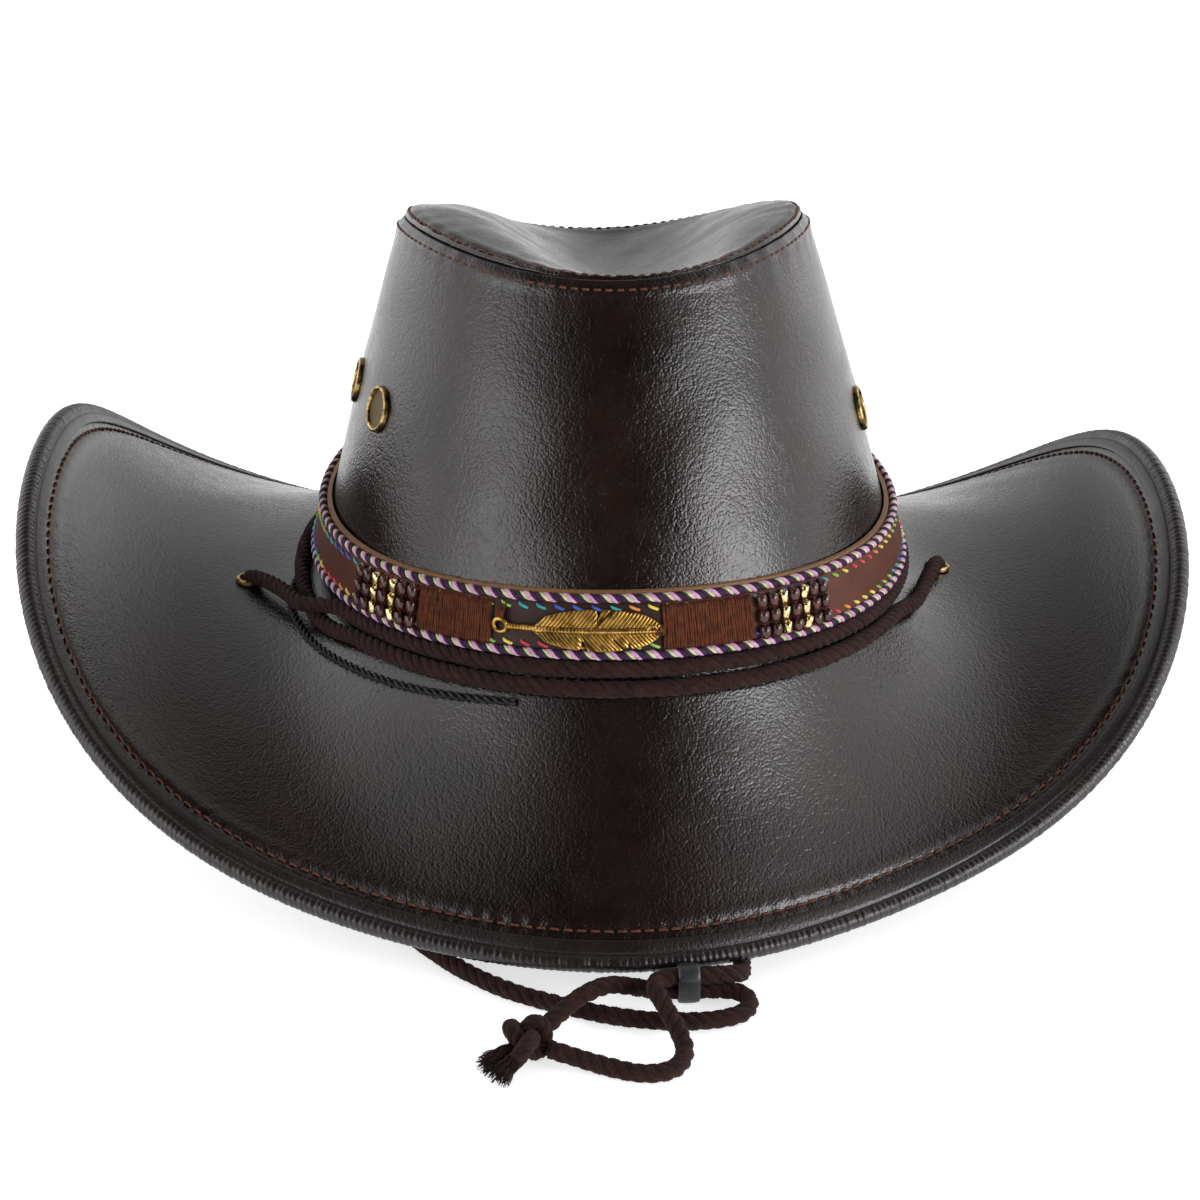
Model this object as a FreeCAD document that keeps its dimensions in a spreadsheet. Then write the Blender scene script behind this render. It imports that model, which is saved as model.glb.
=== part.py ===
import FreeCAD, Part
import math
import os
from FreeCAD import Placement, Rotation, Vector

# Western hat in pebbled leather cloth, standing on a floor.
# +Z is up, the front of the hat faces -Y, and +X is on the right for someone who looks at its front.
# The origin lies on the floor under the middle of the brim's outline.
# Angles go round the crown in degrees: 0 at +X, 90 at the back, -90 at the front, 180 at -X.

doc = FreeCAD.newDocument("WesternHat")
sheet = doc.addObject("Spreadsheet::Sheet", "Sizes")

SIZES = {
    # head opening and crown
    "head_half_width": 85.0,
    "head_half_length": 103.0,
    "junction_shift": 1.5,
    "junction_height": 56.1,
    "junction_saddle": -3.6,
    "seam_half_width": 55.3,
    "seam_half_length": 61.0,
    "seam_height": 152.2,
    "seam_saddle": 5.7,
    "seam_pitch": -9.2,
    "wall_bulge": 1.5,
    "crown_leather": 1.5,
    "lining_cloth": 0.9,
    "sweatband_leather": 1.3,
    "sweatband_depth": 34.0,
    "tip_leather": 1.4,
    "tip_rise": 6.3,
    "dent_depth": 19.6,
    "dent_half_width": 35.0,
    "dent_shift": 7.2,
    # brim
    "brim_width": 76.3,
    "brim_width_side": 11.65,
    "brim_width_quarter": 4.2,
    "brim_width_lean": -2.4,
    "brim_dip": -21.5,
    "brim_dip_side": 39.6,
    "brim_dip_quarter": 6.4,
    "brim_dip_pitch": 0.6,
    "brim_dip_corner": 4.6,
    "brim_dip_twist": -1.7,
    "brim_lean": -8.9,
    "brim_lean_tip": 4.1,
    "brim_curl": 6.9,
    "brim_curl_side": 31.7,
    "brim_half_thick": 1.6,
    "stiffener_half_thick": 0.5,
    "binding_leather": 0.8,
    "binding_reach": 5.0,
    "edge_bead": 2.4,
    "wire_radius": 0.75,
    "edge_stitch_inset": 9.6,
    "thread_half": 0.35,
    "thread_proud": 0.3,
    "seam_stitch_gap": 2.0,
    # eyelets
    "vent_bore_radius": 5.0,
    "vent_flange_radius": 6.4,
    "vent_rim_radius": 0.6,
    "vent_middle_right": -4.0,
    "vent_middle_left": 194.6,
    "vent_spread": 10.7,
    "vent_height_right": 0.489,
    "vent_height_left": 0.555,
    "vent_gauze": 0.4,
    "flange_thick": 0.5,
    "barrel_wall": 0.5,
    "brim_bore_radius": 2.45,
    "brim_flange_radius": 3.75,
    "brim_rim_radius": 0.6,
    "brim_eyelet_turn": 5.4,
    "brim_eyelet_inset_right": 12.7,
    "brim_eyelet_inset_left": 20.8,
    # hat band
    "band_bottom": 10.3,
    "band_height": 13.2,
    "band_gap_front": 0.8,
    "band_gap_side": 0.9,
    "backing_leather": 1.2,
    "backing_above": 1.2,
    "backing_below": 0.5,
    "strap_leather": 1.4,
    "piping_radius": 1.3,
    "piping_overlap": 0.3,
    "wrap_thick": 0.9,
    "bead_radius": 1.45,
    "bead_row_pitch": 3.7,
    "feather_thick": 1.0,
    "feather_half_width": 5.0,
    "feather_ring_radius": 1.7,
    "feather_wire_radius": 0.5,
    "feather_lift": 0.45,
    # cords
    "cord_radius": 2.0,
    "lace_radius": 1.1,
    "slider_length": 5.2,
    "slider_wall": 0.95,
    "slider_play": 0.15,
    "knot_half_width": 5.6,
    "knot_half_length": 7.0,
    "knot_half_height": 4.2,
    # place of the crown's centre, so that the brim's outline is centred on the origin
    "crown_centre_x": -2.7,
    "crown_centre_y": 3.1,
}

for line, (name, value) in enumerate(SIZES.items(), start=1):
    sheet.set("A%d" % line, name)
    sheet.set("B%d" % line, str(value))
    sheet.setAlias("B%d" % line, name)
doc.recompute()


def size(name):
    return float(sheet.get(name))


COLUMNS = 72
AROUND = [360.0 * i / COLUMNS + 90.0 for i in range(COLUMNS)]
CROWN_CENTRE = Vector(size("crown_centre_x"), size("crown_centre_y"), 0)
nodes = []


def add(label, shape, at=CROWN_CENTRE):
    """A node whose shape is worked out here; at is where its own origin goes."""
    node = doc.addObject("Part::Feature", label)
    node.Label = label
    node.Shape = shape if shape.Placement.isIdentity() else Part.Compound([shape])
    node.Placement = Placement(at, Rotation())
    nodes.append(node)
    return node


def bind(node, **expressions):
    for prop, alias in expressions.items():
        node.setExpression(prop, "Sizes." + alias)


# ---------------------------------------------------------------- skins

def knots(count, degree):
    spans = count - degree
    return [degree + 1] + [1] * (spans - 1) + [degree + 1], [float(i) for i in range(spans + 1)]


def loop_knots(count):
    return [1] * (count + 1), [float(i) for i in range(count + 1)]


def skin(rows, around_closed=True, across_closed=False):
    """One smooth face whose control net is the given rows of points."""
    along = len(rows[0])
    across = len(rows)
    along_degree = min(3, along - 1)
    across_degree = min(3, across - 1)
    u_mults, u_knots = loop_knots(along) if around_closed else knots(along, along_degree)
    v_mults, v_knots = loop_knots(across) if across_closed else knots(across, across_degree)
    surface = Part.BSplineSurface()
    surface.buildFromPolesMultsKnots(
        [list(column) for column in zip(*rows)],
        u_mults, v_mults, u_knots, v_knots,
        around_closed, across_closed, along_degree, across_degree,
    )
    return surface.toShape()


def closed_solid(faces):
    shell = Part.makeShell(faces)
    if len(faces) > 1:
        shell.sewShape()
    solid = Part.makeSolid(shell)
    if solid.Volume < 0:
        solid.reverse()
    return solid


def ring(chains):
    """A solid that goes all the way round; each chain is the rows of one smooth face of its section."""
    return closed_solid([skin(rows) for rows in chains])


def ring_bar(corners):
    """A ring with a four-sided section; each corner is a function of the angle."""
    rows = [[corner(angle) for angle in AROUND] for corner in corners]
    return ring([[rows[i], rows[(i + 1) % len(rows)]] for i in range(len(rows))])


def ring_tube(centre, radius, sides=8):
    """A ring with a round section about centre(angle)."""
    reach = radius * 3.0 / (2.0 + math.cos(2 * math.pi / sides))
    rows = []
    for side in range(sides):
        turn = 2 * math.pi * side / sides
        out, up = reach * math.cos(turn), reach * math.sin(turn)
        rows.append([centre(a) + outward(a) * out + Vector(0, 0, up) for a in AROUND])
    return closed_solid([skin(rows, across_closed=True)])


def slab(front, back):
    """A solid between two open nets of points of the same size."""
    left = [[row[0] for row in front], [row[0] for row in back]]
    right = [[row[-1] for row in front], [row[-1] for row in back]]
    nets = [front, back, [front[0], back[0]], [front[-1], back[-1]], left, right]
    return closed_solid([skin(net, around_closed=False) for net in nets])


def tube(points, radius, sides=8):
    """A tube with flat ends that follows the smooth line controlled by the points."""
    reach = radius * 3.0 / (2.0 + math.cos(2 * math.pi / sides))
    last = len(points) - 1
    side_way = None
    rings = []
    for i, point in enumerate(points):
        way = (points[min(i + 1, last)] - points[max(i - 1, 0)]).normalize()
        if side_way is None:
            side_way = way.cross(Vector(0.3, 1.0, 0.1))
        side_way = (side_way - way * side_way.dot(way)).normalize()
        other = way.cross(side_way)
        circle = []
        for side in range(sides):
            turn = 2 * math.pi * side / sides
            circle.append(point + side_way * reach * math.cos(turn) + other * reach * math.sin(turn))
        rings.append(circle)
    faces = [skin(rings)]
    for circle in (rings[0], rings[-1]):
        curve = Part.BSplineCurve()
        mults, places = loop_knots(sides)
        curve.buildFromPolesMultsKnots(circle, mults, places, True, 3)
        faces.append(Part.Face(Part.Wire(curve.toShape())))
    return closed_solid(faces)


# ---------------------------------------------------------------- shape of the hat

def cos(angle):
    return math.cos(math.radians(angle))


def sin(angle):
    return math.sin(math.radians(angle))


def outward(angle):
    way = Vector(size("head_half_length") * cos(angle), size("head_half_width") * sin(angle), 0)
    return way.normalize()


def junction(angle):
    """Where the crown's outer face meets the middle of the brim."""
    height = size("junction_height") + size("junction_saddle") * cos(2 * angle)
    across = size("junction_shift") + size("head_half_width") * cos(angle)
    return Vector(across, size("head_half_length") * sin(angle), height)


def seam(angle):
    """Seam between the crown's side and its tip."""
    height = size("seam_height") + size("seam_saddle") * cos(2 * angle) + size("seam_pitch") * sin(angle)
    return Vector(size("seam_half_width") * cos(angle), size("seam_half_length") * sin(angle), height)


def wall(angle, share, inset=0.0):
    """A point of the crown's side, share 0 at the junction and 1 at the seam, inset towards the head."""
    low, high = junction(angle), seam(angle)
    bulge = size("wall_bulge") * 4 * share * (1 - share)
    return low + (high - low) * share + outward(angle) * (bulge - inset)


def wall_at(angle, up, out=0.0):
    """A point beside the crown's side, up above the junction and out from the outer face."""
    return wall(angle, up / (seam(angle).z - junction(angle).z), -out)


def tip(angle, reach, drop=0.0):
    """A point of the crown's tip, reach 0 in the middle and 1 at the seam."""
    x = size("seam_half_width") * reach * cos(angle)
    y = size("seam_half_length") * reach * sin(angle)
    z = size("seam_height") + size("seam_pitch") * reach * sin(angle)
    z += size("seam_saddle") * reach ** 2 * cos(2 * angle)
    shoulder = max(0.0, (reach - 0.55) / 0.45)
    z += size("tip_rise") * (1 - shoulder ** 2)
    beside = (x - size("dent_shift")) / size("dent_half_width")
    z -= size("dent_depth") * math.exp(-(beside ** 2)) * (1 - reach ** 3)
    return Vector(x, y, z - drop)


def brim_width(angle):
    return (size("brim_width") + size("brim_width_side") * cos(2 * angle)
            + size("brim_width_quarter") * cos(4 * angle) + size("brim_width_lean") * cos(angle))


def brim_dip(angle):
    """Mean slope of the brim in degrees, below zero where it goes down from the crown."""
    return (size("brim_dip") + size("brim_dip_side") * cos(2 * angle)
            + size("brim_dip_quarter") * cos(4 * angle)
            + size("brim_dip_pitch") * sin(angle) + size("brim_dip_corner") * sin(3 * angle)
            + size("brim_dip_twist") * sin(2 * angle)
            + size("brim_lean") * cos(angle) + size("brim_lean_tip") * cos(angle) ** 3)


def brim_slope(angle, along):
    curl = size("brim_curl") + size("brim_curl_side") * cos(angle) ** 2
    share = max(0.0, along) / brim_width(angle)
    return brim_dip(angle) - curl + 2 * curl * share


def brim(angle, along, lift=0.0):
    """A point of the brim, along its surface from the junction and lifted from its middle."""
    if along <= 0:
        return junction(angle) + outward(angle) * along + Vector(0, 0, lift)
    curl = size("brim_curl") + size("brim_curl_side") * cos(angle) ** 2
    bend = brim_width(angle) / math.radians(2 * curl)
    start, here = brim_slope(angle, 0), brim_slope(angle, along)
    out = bend * (sin(here) - sin(start)) - lift * sin(here)
    up = bend * (cos(start) - cos(here)) + lift * cos(here)
    return junction(angle) + outward(angle) * out + Vector(0, 0, up)


def edge_centre(angle):
    return brim_width(angle) - size("edge_bead")


# ---------------------------------------------------------------- crown

WALL_SHARES = [0.0, 0.1, 0.25, 0.4, 0.55, 0.7, 0.85, 1.0]
TIP_REACHES = [1.0, 0.95, 0.88, 0.78, 0.66, 0.54, 0.42, 0.3, 0.18, 0.08, 0.0]
wall_foot = size("brim_half_thick")


def wall_rows(inset, top=1.0):
    """Rows of the crown's side from the top of the brim up to the share top, less the tip's leather."""
    rows = []
    for step in WALL_SHARES:
        row = []
        for angle in AROUND:
            height = seam(angle).z - junction(angle).z
            first = wall_foot / height
            last = top - size("tip_leather") / height
            row.append(wall(angle, first + (last - first) * step, inset))
        rows.append(row)
    return rows


def tip_rows(inset, drop):
    """Rows of the tip from its edge to its middle; inset shortens it for the layers below."""
    scale = 1 - inset / size("seam_half_width")
    return [[tip(angle, reach * scale, drop) for angle in AROUND] for reach in TIP_REACHES]


def upright_ring(outer_rows, inner_rows):
    """A ring between two sets of rows that both go up."""
    return ring([
        outer_rows,
        [outer_rows[-1], inner_rows[-1]],
        inner_rows,
        [outer_rows[0], inner_rows[0]],
    ])


leather = size("crown_leather")
lining_inset = leather + size("lining_cloth")
side_panel = upright_ring(wall_rows(0.0), wall_rows(leather))
tip_top = tip_rows(0.0, 0.0)
tip_under = tip_rows(0.0, size("tip_leather"))
tip_panel = closed_solid([skin(tip_top), skin([tip_top[0], tip_under[0]]), skin(tip_under)])

lining_outer = wall_rows(leather, 0.985)
lining_inner = wall_rows(lining_inset, 0.985)
lining_top = tip_rows(leather + 1.0, size("tip_leather") + 0.15)
lining_under = tip_rows(lining_inset + 1.0, size("tip_leather") + 0.15 + size("lining_cloth"))
lining = closed_solid([
    skin(lining_outer),
    skin([lining_outer[-1], lining_top[0]]),
    skin(lining_top),
    skin(lining_under),
    skin([lining_under[0], lining_inner[-1]]),
    skin(lining_inner),
    skin([lining_outer[0], lining_inner[0]]),
])

sweat_share = size("sweatband_depth") / (size("seam_height") - size("junction_height"))
sweatband = upright_ring(
    wall_rows(lining_inset + 0.05, sweat_share),
    wall_rows(lining_inset + 0.05 + size("sweatband_leather"), sweat_share),
)

# ---------------------------------------------------------------- brim

BRIM_STEPS = [0.0, 0.06, 0.14, 0.24, 0.36, 0.48, 0.6, 0.72, 0.84, 0.93, 1.0]
brim_start = -(lining_inset + size("sweatband_leather"))


def brim_rows(lift, end_gap=1.4):
    """Rows of a brim layer from the head opening to just short of the edge."""
    rows = [[brim(angle, brim_start, lift) for angle in AROUND]]
    for step in BRIM_STEPS:
        rows.append([brim(a, (edge_centre(a) - end_gap) * step, lift) for a in AROUND])
    return rows


def brim_layer(low, high):
    top, under = brim_rows(high), brim_rows(low)
    return ring([top, [top[-1], under[-1]], under, [top[0], under[0]]])


half_brim = size("brim_half_thick")
half_stiffener = size("stiffener_half_thick")
brim_upper = brim_layer(half_stiffener, half_brim)
brim_core = brim_layer(-half_stiffener, half_stiffener)
brim_under = brim_layer(-half_brim, -half_stiffener)


def edge_row(along, lift):
    return [brim(angle, edge_centre(angle) + along, lift) for angle in AROUND]


def edge_chain(points):
    return [edge_row(along, lift) for along, lift in points]


outer_lift = half_brim + size("binding_leather")
reach_back = -size("binding_reach")
bead = size("edge_bead")
inner_lift = half_brim + 0.02
outside = [(reach_back, outer_lift), (-3.2, outer_lift), (-1.4, outer_lift), (0.6, outer_lift),
           (bead, 0.62 * bead), (bead, -0.62 * bead), (0.6, -outer_lift),
           (-1.4, -outer_lift), (-3.2, -outer_lift), (reach_back, -outer_lift)]
inside = [(reach_back, inner_lift), (-3.2, inner_lift), (-1.2, inner_lift), (1.2, inner_lift),
          (1.2, -inner_lift), (-1.2, -inner_lift), (-3.2, -inner_lift), (reach_back, -inner_lift)]
outside, inside = edge_chain(outside), edge_chain(inside)
binding = ring([outside, [outside[-1], inside[-1]], inside, [outside[0], inside[0]]])
brim_wire = ring_tube(lambda a: brim(a, edge_centre(a) - 0.4), size("wire_radius"))


def thread_ring(place):
    """Thread of a stitch row: place(angle, across, lift) is a point beside the row."""
    half, proud = size("thread_half"), size("thread_proud")
    return ring_bar([
        lambda a: place(a, -half, -0.1),
        lambda a: place(a, half, -0.1),
        lambda a: place(a, half, proud),
        lambda a: place(a, -half, proud),
    ])


def on_brim_edge(angle, across, lift):
    inset = edge_centre(angle) + bead - size("edge_stitch_inset")
    return brim(angle, inset + across, half_brim + lift)


def below_seam(angle, across, lift):
    share = 1 - size("seam_stitch_gap") / (seam(angle).z - junction(angle).z)
    return wall(angle, share + across / 100.0, -lift)


def above_seam(angle, across, lift):
    reach = 1 - size("seam_stitch_gap") / size("seam_half_width")
    return tip(angle, reach + across / 60.0, -lift)


edge_stitches = thread_ring(on_brim_edge)
lower_stitches = thread_ring(below_seam)
upper_stitches = thread_ring(above_seam)

# ---------------------------------------------------------------- eyelets

def disc_with_rim(label, bore, flange, rim, barrel_wall, barrel_length):
    """A flanged ring about Z: flange above Z = 0 with a round rim, barrel below it."""
    body = doc.addObject("PartDesign::Body", label)
    parts = []
    if barrel_length:
        barrel = body.newObject("PartDesign::AdditiveCylinder", label + "_barrel")
        barrel.setExpression("Radius", "Sizes.%s + Sizes.%s" % (bore, barrel_wall))
        barrel.Height = barrel_length + size("flange_thick") / 2
        barrel.Placement = Placement(Vector(0, 0, -barrel_length), Rotation())
        parts.append(barrel)
    plate = body.newObject("PartDesign::AdditiveCylinder", label + "_flange")
    bind(plate, Radius=flange, Height="flange_thick")
    parts.append(plate)
    roll = body.newObject("PartDesign::AdditiveTorus", label + "_rim")
    roll.setExpression("Radius1", "(Sizes.%s + Sizes.%s) / 2" % (bore, flange))
    bind(roll, Radius2=rim)
    roll.Placement = Placement(Vector(0, 0, size(rim)), Rotation())
    parts.append(roll)
    hole = body.newObject("PartDesign::SubtractiveCylinder", label + "_bore")
    bind(hole, Radius=bore)
    hole.Height = barrel_length + 6
    hole.Placement = Placement(Vector(0, 0, -barrel_length - 3), Rotation())
    body.Tip = hole
    doc.recompute()
    return body


def facing(origin, way):
    """Placement that puts a blank's origin at a point and its Z along a direction."""
    return Placement(origin, Rotation(Vector(0, 0, 1), way))


def placed(blank, places):
    solids = []
    for place in places:
        solid = blank.Shape.copy()
        solid.Placement = place
        solids.append(solid.Solids[0])
    return Part.Compound(solids)


vent_spots = []
for hand in ("right", "left"):
    for half in (-1, 1):
        vent_spots.append((size("vent_middle_" + hand) + half * size("vent_spread"), size("vent_height_" + hand)))


def wall_normal(angle, share):
    across = wall(angle + 1, share) - wall(angle - 1, share)
    upward = wall(angle, share + 0.02) - wall(angle, share - 0.02)
    return across.cross(upward).normalize()


wall_thick = lining_inset
vent_places, vent_washer_places, vent_holes = [], [], []
for angle, vent_share in vent_spots:
    way = wall_normal(angle, vent_share)
    spot = wall(angle, vent_share) + way * 0.05
    vent_places.append(facing(spot, way))
    vent_washer_places.append(facing(spot - way * (wall_thick + 0.35), way * -1))
    radius = size("vent_bore_radius") + size("barrel_wall") + 0.02
    vent_holes.append(Part.makeCylinder(radius, 12, spot - way * 6, way))

brim_eyelet_places, brim_washer_places, brim_holes = [], [], []
for angle, eyelet_inset in ((-size("brim_eyelet_turn"), size("brim_eyelet_inset_right")),
                            (180.0 + size("brim_eyelet_turn"), size("brim_eyelet_inset_left"))):
    slope = brim_slope(angle, eyelet_inset)
    way = outward(angle) * -sin(slope) + Vector(0, 0, cos(slope))
    spot = brim(angle, eyelet_inset, half_brim + 0.2)
    brim_eyelet_places.append(facing(spot, way))
    brim_washer_places.append(facing(spot - way * (2 * half_brim + 0.3), way * -1))
    radius = size("brim_bore_radius") + size("barrel_wall") + 0.02
    brim_holes.append(Part.makeCylinder(radius, 14, spot - way * 7, way))

vent_blank = disc_with_rim("vent_eyelet_blank", "vent_bore_radius", "vent_flange_radius",
                           "vent_rim_radius", "barrel_wall", wall_thick + 0.2)
vent_washer_blank = disc_with_rim("vent_washer_blank", "vent_bore_radius", "vent_flange_radius",
                                  "vent_rim_radius", "barrel_wall", 0)
brim_blank = disc_with_rim("brim_eyelet_blank", "brim_bore_radius", "brim_flange_radius",
                           "brim_rim_radius", "barrel_wall", 2 * half_brim + 0.25)
brim_washer_blank = disc_with_rim("brim_washer_blank", "brim_bore_radius", "brim_flange_radius",
                                  "brim_rim_radius", "barrel_wall", 0)

gauze_blank = doc.addObject("Part::Cylinder", "vent_gauze_blank")
gauze_blank.setExpression("Radius", "Sizes.vent_bore_radius - 0.02")
bind(gauze_blank, Height="vent_gauze")
doc.recompute()

for hole in vent_holes:
    side_panel = side_panel.cut(hole)
    lining = lining.cut(hole)
for hole in brim_holes:
    brim_upper = brim_upper.cut(hole)
    brim_core = brim_core.cut(hole)
    brim_under = brim_under.cut(hole)

add("crown_side_panel", side_panel)
add("crown_tip_panel", tip_panel)
add("crown_lining", lining)
add("sweatband", sweatband)
add("brim_upper_panel", brim_upper)
add("brim_stiffener", brim_core)
add("brim_under_panel", brim_under)
add("brim_edge_binding", binding)
add("brim_edge_wire", brim_wire)
add("brim_edge_stitching", edge_stitches)
add("crown_lower_stitching", lower_stitches)
add("crown_upper_stitching", upper_stitches)
add("vent_eyelets", placed(vent_blank, vent_places))
add("vent_screens", placed(gauze_blank, vent_places))
add("vent_eyelet_washers", placed(vent_washer_blank, vent_washer_places))
add("brim_eyelets", placed(brim_blank, brim_eyelet_places))
add("brim_eyelet_washers", placed(brim_washer_blank, brim_washer_places))

# ---------------------------------------------------------------- hat band

band_low = size("band_bottom")
band_high = band_low + size("band_height")
strap_trim = size("piping_radius") - size("piping_overlap")


def band_gap(angle):
    return size("band_gap_front") + (size("band_gap_side") - size("band_gap_front")) * cos(angle) ** 2


def band_point(angle, up, depth):
    """A point of the band: up above the junction, depth out from the band's inner face."""
    return wall_at(angle, up, band_gap(angle) + depth)


def band_ring(low, high, inner, outer):
    return ring_bar([
        lambda a: band_point(a, low, inner),
        lambda a: band_point(a, low, outer),
        lambda a: band_point(a, high, outer),
        lambda a: band_point(a, high, inner),
    ])


backing = size("backing_leather")
face = backing + size("strap_leather")
piping_depth = backing + size("piping_radius") - size("piping_overlap")


def band_patch(first, last, low, high, inner, outer, columns=9):
    """A patch on the band between two angles."""
    angles = [first + (last - first) * i / (columns - 1) for i in range(columns)]
    heights = [low, (low + high) / 2, high]
    front = [[band_point(a, up, outer) for a in angles] for up in heights]
    back = [[band_point(a, up, inner) for a in angles] for up in heights]
    return slab(front, back)


add("band_backing", band_ring(band_low - size("backing_below"), band_high + size("backing_above"), 0, backing))
add("band_strap", band_ring(band_low + strap_trim, band_high - strap_trim, backing, face))
add("band_piping_lower", ring_tube(lambda a: band_point(a, band_low, piping_depth), size("piping_radius")))
add("band_piping_upper", ring_tube(lambda a: band_point(a, band_high, piping_depth), size("piping_radius")))


def band_thread(middle):
    half, proud = size("thread_half"), size("thread_proud")
    return band_ring(middle - half, middle + half, face - 0.1, face + proud * 0.6)


thread_inset = size("piping_radius") + 0.9
add("band_thread_lower", band_thread(band_low + thread_inset))
add("band_thread_upper", band_thread(band_high - thread_inset))

wrap_low = band_low + size("piping_radius") + 0.15
wrap_high = band_high - size("piping_radius") - 0.15
wrap_top = face + size("wrap_thick")
add("thread_wrap_left", band_patch(-129.3, -114.9, wrap_low, wrap_high, face, wrap_top))
add("thread_wrap_right", band_patch(-85.3, -69.5, wrap_low, wrap_high, face, wrap_top))

# Seven columns of three beads each side; the third and fifth columns are gold.
BEAD_COLUMNS = 7
BEAD_ROWS = 3
GOLD_COLUMNS = (2, 4)
BEAD_SPANS = ((-144.6, -130.6), (-67.6, -54.2))
bead_middle = (band_low + band_high) / 2
bead_blank = doc.addObject("Part::Sphere", "bead_blank")
bind(bead_blank, Radius="bead_radius")
doc.recompute()
brown_beads, gold_beads = [], []
for first, last in BEAD_SPANS:
    for column in range(BEAD_COLUMNS):
        angle = first + (last - first) * column / (BEAD_COLUMNS - 1)
        for row in range(BEAD_ROWS):
            up = bead_middle + (row - 1) * size("bead_row_pitch")
            bead = bead_blank.Shape.copy()
            bead.Placement = Placement(band_point(angle, up, face + size("bead_radius") + 0.05), Rotation())
            (gold_beads if column in GOLD_COLUMNS else brown_beads).append(bead.Solids[0])
add("brown_beads", Part.Compound(brown_beads))
add("gold_beads", Part.Compound(gold_beads))

# Feather charm: a leaf bent to the band, with a ring at its left end and a hole at its right end.
FEATHER_FIRST, FEATHER_LAST = -111.8, -85.7
feather_low = face + size("feather_lift")
feather_high = feather_low + size("feather_thick")
feather_middle = bead_middle - 0.4


def feather_half(share):
    """Half width of the leaf along its length, a narrow neck first."""
    leaf = max(0.0, (share - 0.1) / 0.9)
    return 0.8 + (size("feather_half_width") - 0.8) * math.sin(math.pi * min(1.0, leaf * 0.93)) ** 0.7


def feather_net(depth):
    net = []
    for side in (-1.0, -0.5, 0.0, 0.5, 1.0):
        row = []
        for step in range(15):
            share = step / 14.0
            angle = FEATHER_FIRST + (FEATHER_LAST - FEATHER_FIRST) * share
            row.append(band_point(angle, feather_middle + side * feather_half(share), depth))
        net.append(row)
    return net


feather = slab(feather_net(feather_high), feather_net(feather_low))
ring_blank = doc.addObject("Part::Torus", "feather_ring_blank")
bind(ring_blank, Radius1="feather_ring_radius", Radius2="feather_wire_radius")
doc.recompute()
ring_angle = FEATHER_FIRST - 1.2
ring_centre = band_point(ring_angle, feather_middle, (feather_low + feather_high) / 2)
feather_ring = ring_blank.Shape.copy()
feather_ring.Placement = facing(ring_centre, outward(ring_angle))
hole_angle = FEATHER_LAST - 1.6
hole_centre = band_point(hole_angle, feather_middle, feather_low)
feather_hole = Part.makeCylinder(0.9, 8, hole_centre - outward(hole_angle) * 4, outward(hole_angle))
add("feather_charm", feather.fuse(feather_ring).cut(feather_hole).Solids[0])


def lace_loop(angle, up):
    """A turn of lace through the charm and the strap, standing across the band."""
    middle = band_point(angle, up, feather_low)
    loop = Part.makeTorus(1.5, 0.4)
    loop.Placement = facing(middle, Vector(0, 0, 1).cross(outward(angle)))
    return loop.Solids[0]


add("feather_lace_left", lace_loop(ring_angle, feather_middle + size("feather_ring_radius")))
add("feather_lace_right", lace_loop(hole_angle, feather_middle + 1.5))

# ---------------------------------------------------------------- chin cord round the crown

cord = size("cord_radius")


def inner_track(angle):
    """The turn of cord that lies against the crown under the band."""
    return wall_at(angle, 6.7, cord + 0.25)


def outer_track(angle):
    """The second turn, in the corner between the crown and the brim."""
    return wall_at(angle, 2.3 + 1.2 * cos(angle) ** 2, 3.0 + 1.7 * cos(angle) ** 2)


def on_brim(angle, along, lift=0.0):
    return brim(angle, along, half_brim + cord + 0.1 + lift)


def eyelet_axis(place, up):
    return place.multVec(Vector(0, 0, up))


def spread(first, last, step):
    count = int(round(abs(last - first) / step))
    return [first + (last - first) * i / count for i in range(count + 1)]


right_eyelet, left_eyelet = brim_eyelet_places
under_eyelet = -(2 * half_brim + 1.6)
held_route = [eyelet_axis(left_eyelet, up) for up in (under_eyelet, -2.4, 0.0, 1.6)]
held_route += [on_brim(-171.5, 16.4, 1.7), on_brim(-168, 12.4, 2.8)]
held_route += [on_brim(-163.5, 9.2, 3.8), on_brim(-158.5, 7.4, 4.3)]
held_route += [wall_at(-153.5, 7.2, 4.2), wall_at(-149, 6.9, 3.0)]
held_route += [inner_track(a) for a in spread(-144, 144, 4)]
held_route += [wall_at(152, 4.9, 3.4), wall_at(160, 3.4, 4.8), on_brim(170, 5.2), on_brim(180, 5.2)]
held_route += [on_brim(190, 5.0), on_brim(199, 4.6), on_brim(207, 4.4)]
held_route += [outer_track(a) for a in spread(-145, -30, 5)]
held_route += [on_brim(-24, 4.6, 0.2), on_brim(-18.5, 5.6, 0.9)]
held_route += [on_brim(-13.5, 7.2, 1.8), on_brim(-9.5, 9.6, 2.4)]
held_route += [eyelet_axis(right_eyelet, up) for up in (1.6, 0.0, -2.4, under_eyelet)]
add("chin_cord_crown_wrap", tube(held_route, cord))

lace_route = []
for angle, along in ((184.5, 4.6), (187, 6.6), (190.4, 8.4), (194.2, 9.7), (198.2, 10.2), (202.4, 10.2),
                     (207.2, 9.8), (213, 8.9), (221.2, 7.5), (228.9, 6.3), (236, 5.3), (243, 4.5),
                     (250, 4.0), (256, 3.8), (261, 3.7)):
    lace_route.append(brim(angle, along, half_brim + size("lace_radius") + 0.1))
add("band_tie_lace", tube(lace_route, size("lace_radius")))

# ---------------------------------------------------------------- free ends of the chin cord

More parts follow.
